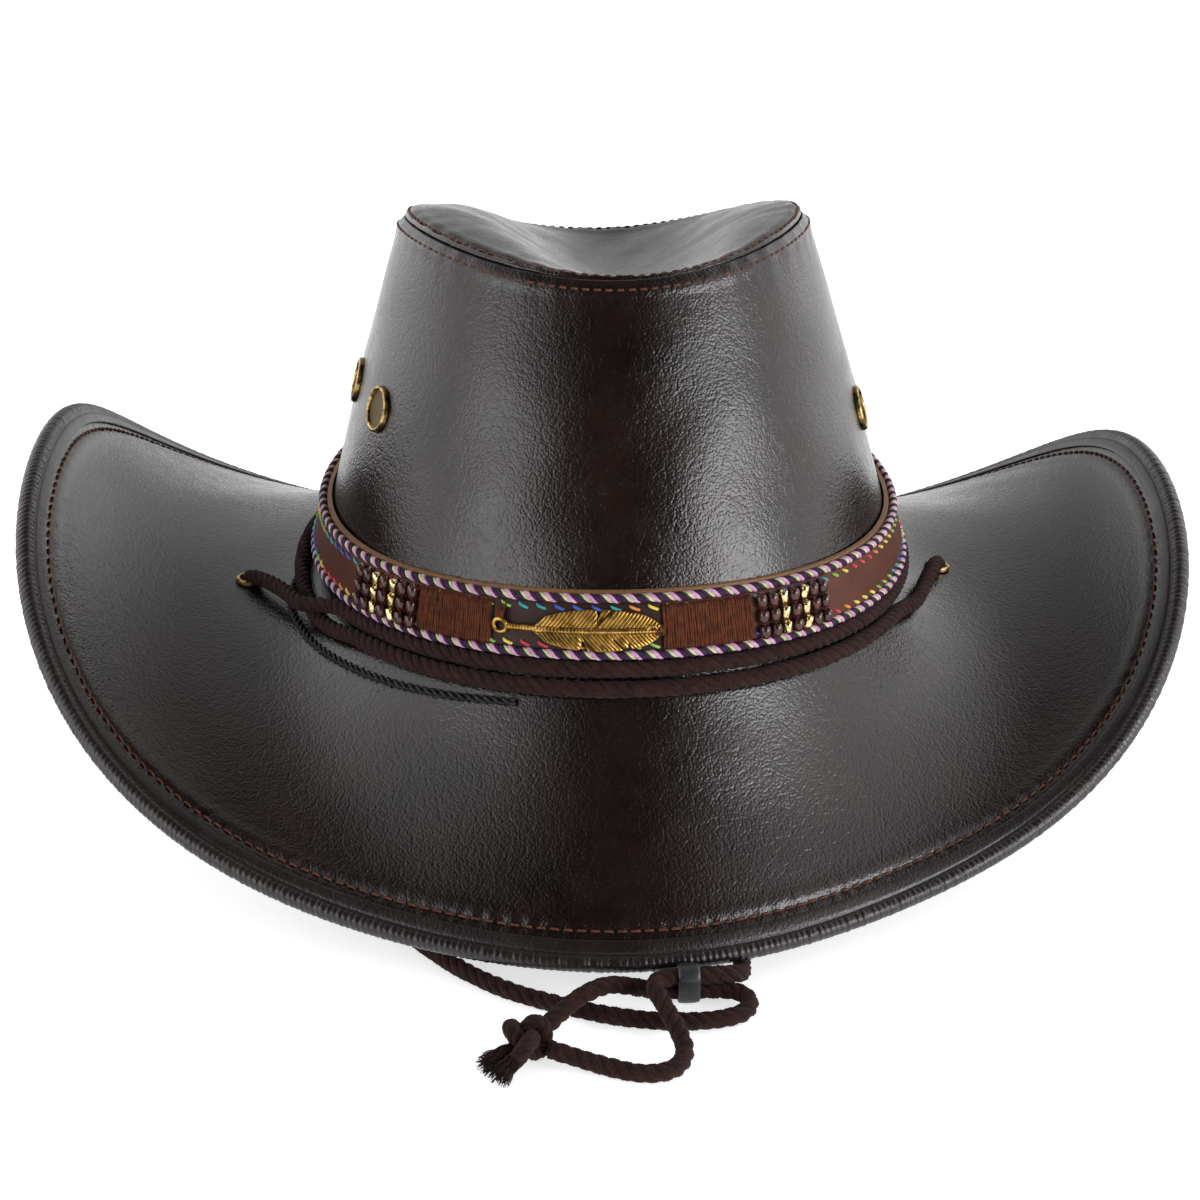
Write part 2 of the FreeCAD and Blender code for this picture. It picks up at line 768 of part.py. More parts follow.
FLOOR = cord + 0.02
SLIDER_AT = Vector(7.5, -146.9, 0)
lower_strand = cord + size("slider_play") + size("slider_wall")
upper_strand = lower_strand + 2 * cord + 0.1
KNOT_AT = Vector(-32.5, -165.5, 4.25)

left_start = CROWN_CENTRE + eyelet_axis(left_eyelet, under_eyelet)
right_start = CROWN_CENTRE + eyelet_axis(right_eyelet, under_eyelet)

under_left = CROWN_CENTRE + eyelet_axis(left_eyelet, under_eyelet - 11)
under_right = CROWN_CENTRE + eyelet_axis(right_eyelet, under_eyelet - 11)

# Down from the eyelet, over the floor under the brim, out at the front, round a fold,
# through the slider from the right and over itself to the knot.
LEFT_ROUTE = [left_start, under_left] + [Vector(*p) for p in (
    (-105.0, -19.0, 25.0), (-101.0, -30.5, 12.5), (-94.5, -46.0, FLOOR),
    (-86.5, -61.0, FLOOR), (-78.0, -79.0, FLOOR), (-69.5, -99.5, FLOOR), (-59.5, -118.0, FLOOR),
    (-48.0, -132.5, FLOOR), (-36.5, -142.5, FLOOR), (-24.5, -149.0, FLOOR), (-12.0, -154.5, FLOOR),
    (-1.5, -157.3, FLOOR), (7.0, -158.1, FLOOR), (14.2, -157.7, FLOOR), (20.0, -155.9, 2.1),
    (22.4, -151.9, 2.3), (20.4, -148.0, 2.7), (14.6, SLIDER_AT.y, lower_strand),
    (1.0, SLIDER_AT.y, lower_strand), (-5.5, -146.7, 4.4), (-12.0, -148.7, 7.3), (-19.5, -153.7, 7.3),
    (-24.5, -158.1, 5.6), (-28.5, -162.3, 4.6),
)]
# Down from the eyelet, out at the front, over the fold, through the slider above the other
# strand, over it towards the front and back in a loop to the knot.
RIGHT_ROUTE = [right_start, under_right] + [Vector(*p) for p in (
    (91.5, -18.0, 24.0), (89.5, -28.5, 12.0), (84.0, -42.0, FLOOR),
    (76.0, -57.0, FLOOR), (65.0, -74.0, FLOOR), (51.5, -92.5, FLOOR), (39.0, -108.0, FLOOR),
    (29.5, -119.5, FLOOR), (24.2, -128.0, FLOOR), (22.0, -134.8, FLOOR), (21.6, -140.9, 3.3),
    (19.8, -145.2, 6.0), (14.6, SLIDER_AT.y, upper_strand), (1.0, SLIDER_AT.y, upper_strand),
    (-1.6, -151.1, 7.7), (0.4, -158.1, 7.4), (3.2, -164.1, 4.6),
    (4.8, -170.3, 2.4), (1.6, -176.1, FLOOR), (-5.5, -177.3, FLOOR), (-13.0, -174.3, FLOOR),
    (-20.5, -170.9, 2.6), (-27.0, -168.1, 3.4),
)]


def rounded_path(points, label):
    """Straight runs joined by tangent arcs; each arc is as large as its two runs allow."""
    edges = []
    start = points[0]
    radii = []
    for before, corner, after in zip(points, points[1:], points[2:]):
        back = before - corner
        on = after - corner
        half_turn = (math.pi - back.getAngle(on)) / 2
        trim = 0.45 * min(back.Length, on.Length)
        back.normalize()
        on.normalize()
        first = corner + back * trim
        last = corner + on * trim
        radius = trim / math.tan(half_turn)
        middle_way = (back + on).normalize()
        middle = corner + middle_way * (radius / math.cos(half_turn) - radius)
        edges.append(Part.LineSegment(start, first).toShape())
        edges.append(Part.Arc(first, middle, last).toShape())
        start = last
        radii.append(radius)
    edges.append(Part.LineSegment(start, points[-1]).toShape())
    path = Part.Wire(edges)
    print(label, "radii", " ".join("%.0f" % r for r in radii), "length %.0f" % path.Length)
    return path


def cord_solid(points, label):
    path = rounded_path(points, label)
    way = (points[1] - points[0]).normalize()
    section = Part.Wire(Part.makeCircle(cord, points[0], way))
    solid = path.makePipeShell([section], True, True)
    print(label, "volume %.0f of %.0f" % (solid.Volume, math.pi * cord ** 2 * path.Length))
    return solid


left_cord = cord_solid(LEFT_ROUTE, "chin_cord_left")
right_cord = cord_solid(RIGHT_ROUTE, "chin_cord_right")
add("chin_cord_left", left_cord, Vector())
add("chin_cord_right", right_cord, Vector())

# Overhand knot that both ends share, and the two frayed ends past it.
knot_blank = doc.addObject("Part::Sphere", "knot_blank")
bind(knot_blank, Radius="knot_half_height")
doc.recompute()
stretch = FreeCAD.Matrix()
stretch.scale(size("knot_half_width") / size("knot_half_height"),
              size("knot_half_length") / size("knot_half_height"), 1.0)
knot = knot_blank.Shape.transformGeometry(stretch)
knot.rotate(Vector(), Vector(0, 0, 1), -18)
knot.translate(KNOT_AT)
add("cord_knot", knot.cut(Part.Compound([left_cord, right_cord])).Solids[0], Vector())

tails = []
for first, last in (((-35.5, -171.0, 3.2), (-39.5, -179.5, 2.6)), ((-37.5, -167.0, 3.4), (-43.0, -172.0, 2.7))):
    first, last = Vector(*first), Vector(*last)
    way = last - first
    tails.append(Part.makeCone(1.9, 2.5, way.Length, first, way))
tail_solids = [tail.cut(knot) for tail in tails]
tail_solids[1] = tail_solids[1].cut(tails[0])
whole_tails = [max(tail.Solids, key=lambda solid: solid.Volume) for tail in tail_solids]
add("cord_tails", Part.Compound(whole_tails), Vector())

# ---------------------------------------------------------------- slider

slider_middle = (lower_strand + upper_strand) / 2
half_spread = (upper_strand - lower_strand) / 2


def oval_bar(label, wall_alias, length, overhang):
    """A bar along X with an oval section, as a fuse of a box and two cylinders."""
    parts = []
    radius = "Sizes.cord_radius + Sizes.slider_play" + (" + Sizes." + wall_alias if wall_alias else "")
    start = SLIDER_AT.x - length / 2
    for end in (-1, 1):
        cylinder = doc.addObject("Part::Cylinder", "%s_end_%d" % (label, end + 1))
        cylinder.setExpression("Radius", radius)
        cylinder.setExpression("Height", "Sizes.slider_length + %g" % overhang)
        spot = Vector(start, SLIDER_AT.y, slider_middle + end * half_spread)
        cylinder.Placement = facing(spot, Vector(1, 0, 0))
        parts.append(cylinder)
    box = doc.addObject("Part::Box", label + "_middle")
    box.setExpression("Length", "Sizes.slider_length + %g" % overhang)
    box.setExpression("Width", "2 * (%s)" % radius)
    box.Height = 2 * half_spread
    doc.recompute()
    box.Placement = Placement(
        Vector(start, SLIDER_AT.y - box.Width.Value / 2, slider_middle - half_spread), Rotation())
    parts.append(box)
    bar = doc.addObject("Part::MultiFuse", label)
    bar.Shapes = parts
    return bar


slider_outer = oval_bar("slider_outer", "slider_wall", size("slider_length"), 0)
slider_bore = oval_bar("slider_bore", "", size("slider_length") + 2, 2)
slider = doc.addObject("Part::Cut", "cord_slider")
slider.Base = slider_outer
slider.Tool = slider_bore
slider.Label = "cord_slider"
nodes.append(slider)

# ---------------------------------------------------------------- checks and files

doc.recompute()
os.makedirs("parts", exist_ok=True)
for item in doc.Objects:
    bad = [state for state in item.State if state in ("Invalid", "Error")]
    if bad:
        raise SystemExit("%s is %s" % (item.Label, bad))
whole = FreeCAD.BoundBox()
for node in nodes:
    shape = node.Shape
    if shape.isNull() or not shape.isValid() or not shape.Solids:
        raise SystemExit("%s has no valid solid" % node.Label)
    if any(solid.Volume <= 0 for solid in shape.Solids):
        raise SystemExit("%s has a solid without volume" % node.Label)
    shape.exportStep("parts/%s.step" % node.Label)
    whole.add(shape.BoundBox)
    box = shape.BoundBox
    print("%-24s %3d solids %9.0f mm3  x %.1f %.1f  y %.1f %.1f  z %.1f %.1f" % (
        node.Label, len(shape.Solids), shape.Volume,
        box.XMin, box.XMax, box.YMin, box.YMax, box.ZMin, box.ZMax))
print("whole", whole)
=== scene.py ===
import math

import bpy
import numpy as np
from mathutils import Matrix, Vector


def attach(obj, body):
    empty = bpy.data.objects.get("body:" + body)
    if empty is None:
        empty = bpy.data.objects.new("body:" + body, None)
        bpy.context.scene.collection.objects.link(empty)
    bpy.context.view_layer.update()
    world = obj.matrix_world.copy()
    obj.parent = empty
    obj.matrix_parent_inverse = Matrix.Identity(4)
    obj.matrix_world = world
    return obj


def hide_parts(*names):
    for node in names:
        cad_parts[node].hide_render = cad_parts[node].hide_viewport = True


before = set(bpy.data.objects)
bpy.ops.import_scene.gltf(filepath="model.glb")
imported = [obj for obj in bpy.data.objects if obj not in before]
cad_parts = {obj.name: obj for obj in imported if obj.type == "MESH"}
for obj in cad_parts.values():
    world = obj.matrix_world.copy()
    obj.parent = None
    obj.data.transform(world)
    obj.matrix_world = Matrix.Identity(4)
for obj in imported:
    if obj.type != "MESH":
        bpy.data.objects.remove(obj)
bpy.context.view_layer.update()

# A western hat of pebbled leather cloth. Sizes are in millimetres about the crown's centre, as in the
# part, and every piece is turned into metres in the shared frame when its mesh is made.
# Angles go round the crown: 0 at +X, 90 at the back, -90 at the front.

MM = 0.001
CROWN_CENTRE = np.array([-2.7, 3.1, 0.0])
scene = bpy.context.scene
chance = np.random.default_rng(11)

# ---- camera

camera_data = bpy.data.cameras.new("camera")
camera_data.sensor_width = 36.0
camera_data.lens = 60.97
camera_data.shift_x = -0.0024
camera = bpy.data.objects.new("camera", camera_data)
scene.collection.objects.link(camera)
camera.location = (-0.0415, -0.5515, 0.2937)
aim = Vector((-0.0027, 0.0031, 0.0384)) - camera.location
camera.rotation_euler = aim.to_track_quat("-Z", "Y").to_euler()
scene.camera = camera


# ---- lines

def spline_points(points, order=3, step=0.0008):
    """Points in metres, evenly spaced along the NURBS spline that the given points control."""
    data = bpy.data.curves.new("line", "CURVE")
    data.dimensions = "3D"
    data.resolution_u = 32
    line = data.splines.new("NURBS")
    line.points.add(len(points) - 1)
    for spot, point in zip(line.points, points):
        spot.co = (*point, 1.0)
    line.order_u = order
    line.use_endpoint_u = True
    holder = bpy.data.objects.new("line", data)
    scene.collection.objects.link(holder)
    mesh = bpy.data.meshes.new_from_object(holder)
    found = np.array([v.co for v in mesh.vertices], float)
    bpy.data.objects.remove(holder)
    bpy.data.curves.remove(data)
    bpy.data.meshes.remove(mesh)
    return evenly(found, step)


def evenly(points, step):
    """The same line in equal steps."""
    gone = np.concatenate([[0.0], np.cumsum(np.linalg.norm(np.diff(points, axis=0), axis=1))])
    places = np.linspace(0.0, gone[-1], int(round(gone[-1] / step)) + 1)
    return np.stack([np.interp(places, gone, points[:, i]) for i in range(3)], axis=1)


FLOOR = 0.00202
LOWER_STRAND = 0.0031
UPPER_STRAND = 0.0072
LEFT_ROUTE = [
    (-0.10672, -0.00822, 0.04837), (-0.10770, -0.00830, 0.03741),
    (-0.105, -0.019, 0.025), (-0.101, -0.0305, 0.0125), (-0.0945, -0.046, FLOOR),
    (-0.0865, -0.061, FLOOR), (-0.078, -0.079, FLOOR), (-0.0695, -0.0995, FLOOR),
    (-0.0595, -0.118, FLOOR), (-0.048, -0.1325, FLOOR), (-0.0365, -0.1425, FLOOR),
    (-0.0245, -0.149, FLOOR), (-0.012, -0.1545, FLOOR), (-0.0015, -0.1573, FLOOR),
    (0.007, -0.1581, FLOOR), (0.0142, -0.1577, FLOOR), (0.020, -0.1559, 0.0021),
    (0.0224, -0.1519, 0.0023), (0.0204, -0.148, 0.0027), (0.0146, -0.1469, LOWER_STRAND),
    (0.001, -0.1469, LOWER_STRAND), (-0.0055, -0.1467, 0.0044), (-0.012, -0.1487, 0.0073),
    (-0.0195, -0.1537, 0.0073), (-0.0245, -0.1581, 0.0056), (-0.0285, -0.1623, 0.0046),
]
RIGHT_ROUTE = [
    (0.09510, -0.00750, 0.04625), (0.09321, -0.00736, 0.03541),
    (0.0915, -0.018, 0.024), (0.0895, -0.0285, 0.012), (0.084, -0.042, FLOOR),
    (0.076, -0.057, FLOOR), (0.065, -0.074, FLOOR), (0.0515, -0.0925, FLOOR),
    (0.039, -0.108, FLOOR), (0.0295, -0.1195, FLOOR), (0.0242, -0.128, FLOOR),
    (0.022, -0.1348, FLOOR), (0.0216, -0.1409, 0.0033), (0.0198, -0.1452, 0.0060),
    (0.0146, -0.1469, UPPER_STRAND), (0.001, -0.1469, UPPER_STRAND), (-0.0016, -0.1511, 0.0077),
    (0.0004, -0.1581, 0.0074), (0.0032, -0.1641, 0.0046), (0.0048, -0.1703, 0.0024),
    (0.0016, -0.1761, FLOOR), (-0.0055, -0.1773, FLOOR), (-0.013, -0.1743, FLOOR),
    (-0.0205, -0.1709, 0.0026), (-0.027, -0.1681, 0.0034),
]
left_line = spline_points(LEFT_ROUTE)
right_line = spline_points(RIGHT_ROUTE)


# ---- shape of the hat

HEAD_HALF_X, HEAD_HALF_Y = 85.0, 103.0
SEAM_HALF_X, SEAM_HALF_Y = 55.3, 61.0
SEAM_HEIGHT, SEAM_PITCH, SEAM_SADDLE = 152.2, 9.2, 5.7
EDGE_RADIUS = 2.4
EDGE_STITCH_INSET = 9.6


def cos(angle):
    return np.cos(np.radians(angle))


def sin(angle):
    return np.sin(np.radians(angle))


def vector(x, y, z):
    return np.stack(np.broadcast_arrays(np.asarray(x, float), y, z), axis=-1)


def unit(ways):
    return ways / np.linalg.norm(ways, axis=-1, keepdims=True)


def outward(angle):
    return unit(vector(HEAD_HALF_Y * cos(angle), HEAD_HALF_X * sin(angle), 0.0))


def junction(angle):
    return vector(1.5 + HEAD_HALF_X * cos(angle), HEAD_HALF_Y * sin(angle), 56.1 - 3.6 * cos(2 * angle))


def seam(angle):
    height = SEAM_HEIGHT + SEAM_SADDLE * cos(2 * angle) - SEAM_PITCH * sin(angle)
    return vector(SEAM_HALF_X * cos(angle), SEAM_HALF_Y * sin(angle), height)


def wall_height(angle):
    return (seam(angle) - junction(angle))[..., 2]


def wall(angle, share, out=0.0):
    """Crown's side: share 0 at the brim and 1 at the seam."""
    share = np.asarray(share, float)
    low, high = junction(angle), seam(angle)
    bulge = 6.0 * share * (1 - share) + out
    return low + (high - low) * share[..., None] + outward(angle) * np.asarray(bulge)[..., None]


def wall_at(angle, up, out=0.0):
    return wall(angle, up / wall_height(angle), out)


def tip(angle, reach, lift=0.0):
    x, y = SEAM_HALF_X * reach * cos(angle), SEAM_HALF_Y * reach * sin(angle)
    z = SEAM_HEIGHT - SEAM_PITCH * reach * sin(angle) + SEAM_SADDLE * reach ** 2 * cos(2 * angle)
    shoulder = np.maximum(0.0, (reach - 0.55) / 0.45)
    z = z + 6.3 * (1 - shoulder ** 2) - 19.6 * np.exp(-(((x - 7.2) / 35.0) ** 2)) * (1 - reach ** 3)
    return vector(x, y, z + lift)


def brim_width(angle):
    return 76.3 + 11.65 * cos(2 * angle) + 4.2 * cos(4 * angle) - 2.4 * cos(angle)


def brim_dip(angle):
    return (-21.5 + 39.6 * cos(2 * angle) + 6.4 * cos(4 * angle) + 0.6 * sin(angle) + 4.6 * sin(3 * angle)
            - 1.7 * sin(2 * angle) - 8.9 * cos(angle) + 4.1 * cos(angle) ** 3)


def brim(angle, along, lift=0.0):
    """Brim: along its surface from the crown's foot, lifted from its middle."""
    curl = 6.9 + 31.7 * cos(angle) ** 2
    bend = brim_width(angle) / np.radians(2 * curl)
    start = brim_dip(angle) - curl
    here = start + 2 * curl * np.maximum(0.0, along) / brim_width(angle)
    inside = np.minimum(0.0, along)
    flat = np.asarray(along) <= 0
    out = bend * (sin(here) - sin(start)) - np.where(flat, 0.0, lift * sin(here)) + inside
    up = bend * (cos(start) - cos(here)) + np.where(flat, lift, lift * cos(here))
    return junction(angle) + outward(angle) * out[..., None] + vector(0.0, 0.0, up)


def edge_centre(angle):
    return brim_width(angle) - EDGE_RADIUS


HALF_BRIM = 1.6
BAND_LOW, BAND_HIGH = 10.3, 23.5
BAND_MIDDLE = (BAND_LOW + BAND_HIGH) / 2
BAND_FACE = 2.6


def band_point(angle, up, depth):
    return wall_at(angle, up, 0.8 + 0.1 * cos(angle) ** 2 + depth)


def angles_by_length(place, pitch, first=-90.0, last=270.0, closed=True):
    """Angles whose places are a pitch apart along a line round the crown."""
    fine = np.linspace(first, last, 7201)
    gone = np.concatenate([[0.0], np.cumsum(np.linalg.norm(np.diff(place(fine), axis=0), axis=1))])
    count = max(2, int(round(gone[-1] / pitch)))
    places = np.linspace(0.0, gone[-1], count + 1)
    angles = np.interp(places, gone, fine)
    return angles[:-1] if closed else angles


# ---- meshes

def grid_faces(rows, columns, wrap_rows, wrap_columns):
    r = np.arange(rows if wrap_rows else rows - 1)[:, None]
    c = np.arange(columns if wrap_columns else columns - 1)[None, :]
    r2, c2 = (r + 1) % rows, (c + 1) % columns
    corners = [r * columns + c, r * columns + c2, r2 * columns + c2, r2 * columns + c]
    return np.stack(corners, axis=-1).reshape(-1, 4)


def block(points, wrap_rows=False, wrap_columns=True, caps=True, finish=0, placed=False):
    """One closed form as a net of points; caps close its first and last rows."""
    points = np.asarray(points, float)
    if not placed:
        points = (points + CROWN_CENTRE) * MM
    return points, wrap_rows, wrap_columns, caps and not wrap_rows, finish


def piece(name, blocks, finishes, body, replaced=()):
    vertices, faces, indices = [], [], []
    start = 0
    for points, wrap_rows, wrap_columns, caps, finish in blocks:
        rows, columns = points.shape[:2]
        flat = points.reshape(-1, 3)
        quads = grid_faces(rows, columns, wrap_rows, wrap_columns)
        about = flat - flat.mean(axis=0)
        a, b, c, d = (about[quads[:, i]] for i in range(4))
        volume = np.einsum("ij,ij->", a, np.cross(b, c) + np.cross(c, d))
        ends = [list(range(columns - 1, -1, -1)), list(range((rows - 1) * columns, rows * columns))]
        if volume < 0:
            quads = quads[:, ::-1]
            ends = [end[::-1] for end in ends]
        faces.extend((quads + start).tolist())
        if caps:
            faces.extend([i + start for i in end] for end in ends)
        indices.extend(finish.tolist() if isinstance(finish, np.ndarray) else [finish] * len(quads))
        indices.extend([indices[-1]] * (len(faces) - len(indices)))
        vertices.append(flat)
        start += rows * columns
    mesh = bpy.data.meshes.new(name)
    mesh.from_pydata(np.concatenate(vertices).tolist(), [], faces)
    for finish in finishes:
        mesh.materials.append(finish)
    mesh.polygons.foreach_set("material_index", indices)
    mesh.polygons.foreach_set("use_smooth", [True] * len(faces))
    mesh.update()
    thing = bpy.data.objects.new(name, mesh)
    scene.collection.objects.link(thing)
    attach(thing, body)
    if replaced:
        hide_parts(*replaced)
    return thing


def travelling_frames(path):
    """Two directions square to a line, turned as little as possible along it."""
    ways = unit(np.gradient(path, axis=0))
    side = np.cross(ways[0], (0.31, 0.17, 0.94))
    sides = []
    for way in ways:
        side = side - way * side.dot(way)
        side = side / np.linalg.norm(side)
        sides.append(side)
    sides = np.array(sides)
    return sides, np.cross(ways, sides)


def strand(centre, across, radius, sides, lobes=0, depth=0.0, yarn_pitch=1.0, step=1.0, closed=False):
    """A round or lobed strand about a line; across is a direction away from the rope's middle."""
    if closed:
        ways = unit(np.roll(centre, -1, axis=0) - np.roll(centre, 1, axis=0))
    else:
        ways = unit(np.gradient(centre, axis=0))
    across = unit(across - ways * np.sum(across * ways, axis=1, keepdims=True))
    other = np.cross(ways, across)
    turn = np.linspace(0, 2 * np.pi, sides, endpoint=False)[None, :]
    yarn = 2 * np.pi * np.arange(len(centre))[:, None] * step / yarn_pitch
    reach = np.asarray(radius, float) * (1 + depth * np.cos(lobes * turn + yarn))
    reach = np.broadcast_to(reach, (len(centre), sides))[..., None]
    return (centre[:, None] + across[:, None] * np.cos(turn)[..., None] * reach
            + other[:, None] * np.sin(turn)[..., None] * reach)


def rope(path, sides_a, sides_b, count, offset, radius, turns, sides=10, lobes=5, depth=0.06,
         step=1.0, closed=False, finishes=None, placed=True, hand=1.0, yarn_pitch=3.0):
    """Blocks of a laid rope: count strands twisted round a path."""
    blocks = []
    share = np.arange(len(path)) / (len(path) if closed else len(path) - 1)
    for k in range(count):
        phase = hand * 2 * np.pi * (share * turns + k / count)
        across = sides_a * np.cos(phase)[:, None] + sides_b * np.sin(phase)[:, None]
        centre = path + across * offset
        reach = radius[k] if isinstance(radius, tuple) else radius
        net = strand(centre, across, reach, sides, lobes, depth, yarn_pitch, step, closed)
        finish = finishes[k] if finishes else 0
        blocks.append(block(net, wrap_rows=closed, finish=finish, placed=placed))
    return blocks


def stitch(first, last, up, radius, rise=0.35, sides=8):
    """A thread from one hole to the next, round, arched and sunk at its ends."""
    share = np.linspace(-1.0, 1.0, 9)
    middle = (first + last) / 2
    arch = (rise + radius) * (1 - share ** 4) - radius
    centre = middle + (last - first) / 2 * share[:, None] + up * arch[:, None]
    way = unit(last - first)
    across = np.cross(way, up)
    turn = np.linspace(0, 2 * np.pi, sides, endpoint=False)[None, :, None]
    reach = radius * (1 - 0.45 * share ** 6)[:, None, None]
    return centre[:, None] + reach * (np.cos(turn) * across + np.sin(turn) * up)


def stitch_row(place, lift_way, pitch, share, radius, slant=0.0, first=-90.0, last=270.0, closed=True,
               finish=lambda i: 0, rise=0.3):
    """Stitches along place(angle); lift_way(angle) is the way out of the leather."""
    angles = angles_by_length(place, pitch, first, last, closed)
    middles, ups = place(angles), unit(lift_way(angles))
    ahead = place(angles + 0.05)
    blocks = []
    for i, (middle, up, on) in enumerate(zip(middles, ups, ahead)):
        way = unit(on - middle)
        side = np.cross(up, way)
        jitter = chance.uniform(-0.04, 0.04, 3)
        half = (way * (1 + jitter[0]) + side * (slant + jitter[1])) * pitch * share / 2
        net = stitch(middle - half, middle + half, up, radius * (1 + jitter[2]), rise)
        blocks.append(block(net, finish=finish(i)))
    return blocks


def ripples(angle, up, amount, seed, around=(2, 14), wave=(25.0, 90.0), count=14):
    """Soft irregular swelling of a skin, periodic round the crown."""
    dice = np.random.default_rng(seed)
    total = 0.0
    for _ in range(count):
        turns = dice.integers(*around)
        length = dice.uniform(*wave) * dice.choice([-1, 1])
        total = total + np.sin(np.radians(angle) * turns + 2 * np.pi * up / length + dice.uniform(0, 6.28))
    return amount * total / math.sqrt(count)


def smooth_section(points, rounds=2):
    """Corner cutting of a closed outline."""
    points = np.asarray(points, float)
    for _ in range(rounds):
        after = np.roll(points, -1, axis=0)
        cut = [0.75 * points + 0.25 * after, 0.25 * points + 0.75 * after]
        points = np.stack(cut, axis=1).reshape(-1, 2)
    return points


def numeric_normal(place, angle, along, toward):
    """Way out of a surface place(angle, along), on the side of toward."""
    a = place(angle + 0.05, along) - place(angle - 0.05, along)
    b = place(angle, along + 0.05) - place(angle, along - 0.05)
    way = unit(np.cross(a, b))
    return way * np.sign(np.sum(way * toward, axis=-1, keepdims=True))


# ---- finishes

class Finish:
    """A Principled material built from procedural textures in object space."""

    def __init__(self, name, roughness=0.5, metallic=0.0, **sockets):
        self.material = bpy.data.materials.new(name)
        self.material.use_nodes = True
        self.tree = self.material.node_tree
        self.shader = self.tree.nodes["Principled BSDF"]
        self.shader.inputs["Roughness"].default_value = roughness
        self.shader.inputs["Metallic"].default_value = metallic
        for socket, value in sockets.items():
            self.shader.inputs[socket.replace("_", " ")].default_value = value
        self.place = self.tree.nodes.new("ShaderNodeTexCoord").outputs["Object"]
        self.normal = None

    def add(self, kind, links=(), **values):
        node = self.tree.nodes.new(kind)
        for key, value in values.items():
            setattr(node, key, value)
        for socket, source in dict(links).items():
            if isinstance(source, bpy.types.NodeSocket):
                self.tree.links.new(source, node.inputs[socket])
            else:
                node.inputs[socket].default_value = source
        return node

    def stretched(self, x, y, z):
        return self.add("ShaderNodeMapping", {"Vector": self.place, "Scale": (x, y, z)}).outputs["Vector"]

    def warped(self, amount):
        """Object position pushed about by a noise, so that cells lose their straight edges."""
        wander = self.add("ShaderNodeTexNoise", {"Vector": self.place, "Scale": 260.0, "Detail": 2.0})
        shift = self.add("ShaderNodeVectorMath", {
            0: wander.outputs["Color"], 1: (amount, amount, amount)}, operation="MULTIPLY")
        moved = self.add("ShaderNodeVectorMath", {
            0: self.place, 1: shift.outputs["Vector"]}, operation="ADD")
        return moved.outputs["Vector"]

    def noise(self, scale, detail=3.0, rough=0.55, distortion=0.0, where=None):
        node = self.add("ShaderNodeTexNoise", {
            "Vector": where or self.place, "Scale": scale, "Detail": detail,
            "Roughness": rough, "Distortion": distortion})
        return node.outputs["Fac"]

    def cells(self, scale, feature="F1", where=None, randomness=1.0):
        node = self.add("ShaderNodeTexVoronoi", {
            "Vector": where or self.place, "Scale": scale, "Randomness": randomness}, feature=feature)
        return node.outputs["Distance"]

    def spread(self, value, low, high, to_low=0.0, to_high=1.0):
        node = self.add("ShaderNodeMapRange", {
            "Value": value, "From Min": low, "From Max": high, "To Min": to_low, "To Max": to_high})
        return node.outputs["Result"]

    def sum(self, one, two, operation="ADD"):
        return self.add("ShaderNodeMath", {0: one, 1: two}, operation=operation).outputs["Value"]

    def colours(self, value, stops):
        ramp = self.add("ShaderNodeValToRGB", {"Fac": value})
        band = ramp.color_ramp
        while len(band.elements) < len(stops):
            band.elements.new(0.5)
        for element, (place, colour) in zip(band.elements, stops):
            element.position = place
            element.color = (*colour, 1.0)
        self.tree.links.new(ramp.outputs["Color"], self.shader.inputs["Base Color"])
        return ramp.outputs["Color"]

    def roughen(self, value, low, high):
        self.tree.links.new(self.spread(value, 0.3, 0.7, low, high), self.shader.inputs["Roughness"])

    def bump(self, height, distance, strength=1.0):
        links = {"Height": height, "Distance": distance, "Strength": strength}
        if self.normal is not None:
            links["Normal"] = self.normal
        self.normal = self.add("ShaderNodeBump", links).outputs["Normal"]
        self.tree.links.new(self.normal, self.shader.inputs["Normal"])


def leather(name, dark, light, roughness=(0.25, 0.36), grain=1.0, specular=0.5):
    made = Finish(name, Specular_IOR_Level=specular)
    made.colours(made.noise(38.0, 5.0, 0.6), [(0.32, dark), (0.68, light)])
    made.roughen(made.noise(160.0, 4.0), *roughness)
    made.bump(made.noise(22.0, 2.0, 0.5), 0.0007 * grain, 0.4)
    creases = made.noise(1.0, 3.0, 0.6, 0.8, made.stretched(90.0, 300.0, 420.0))
    made.bump(creases, 0.00007 * grain, 0.5)
    crackle = made.spread(made.cells(330.0, "DISTANCE_TO_EDGE", made.warped(0.0016)), 0.0, 0.10)
    made.bump(crackle, 0.00005 * grain, 0.55)
    pebbles = made.sum(made.cells(1350.0, "F1"), -0.7, "MULTIPLY")
    fine = made.sum(made.noise(700.0, 4.0, 0.65), 0.9, "MULTIPLY")
    made.bump(made.sum(pebbles, fine), 0.00014 * grain, 0.7)
    return made.material


def yarn(name, dark, light, roughness=0.85, fibre=3200.0, sheen=0.25, depth=0.00012):
    made = Finish(name, roughness, Sheen_Weight=sheen, Sheen_Roughness=0.5, Specular_IOR_Level=0.25)
    tone = made.sum(made.noise(420.0, 4.0), made.noise(fibre, 3.0), "ADD")
    made.colours(made.spread(tone, 0.7, 1.3), [(0.15, dark), (0.85, light)])
    made.bump(made.noise(fibre, 3.0, 0.7), depth, 0.9)
    return made.material


def metal(name, recess, bright, roughness=(0.22, 0.45), scale=600.0, depth=0.00005):
    made = Finish(name, 0.3, 1.0)
    stain = made.noise(scale, 5.0, 0.65)
    made.colours(stain, [(0.36, recess), (0.60, bright)])
    made.roughen(stain, *roughness)
    made.bump(made.noise(scale * 3, 3.0), depth, 0.5)
    return made.material


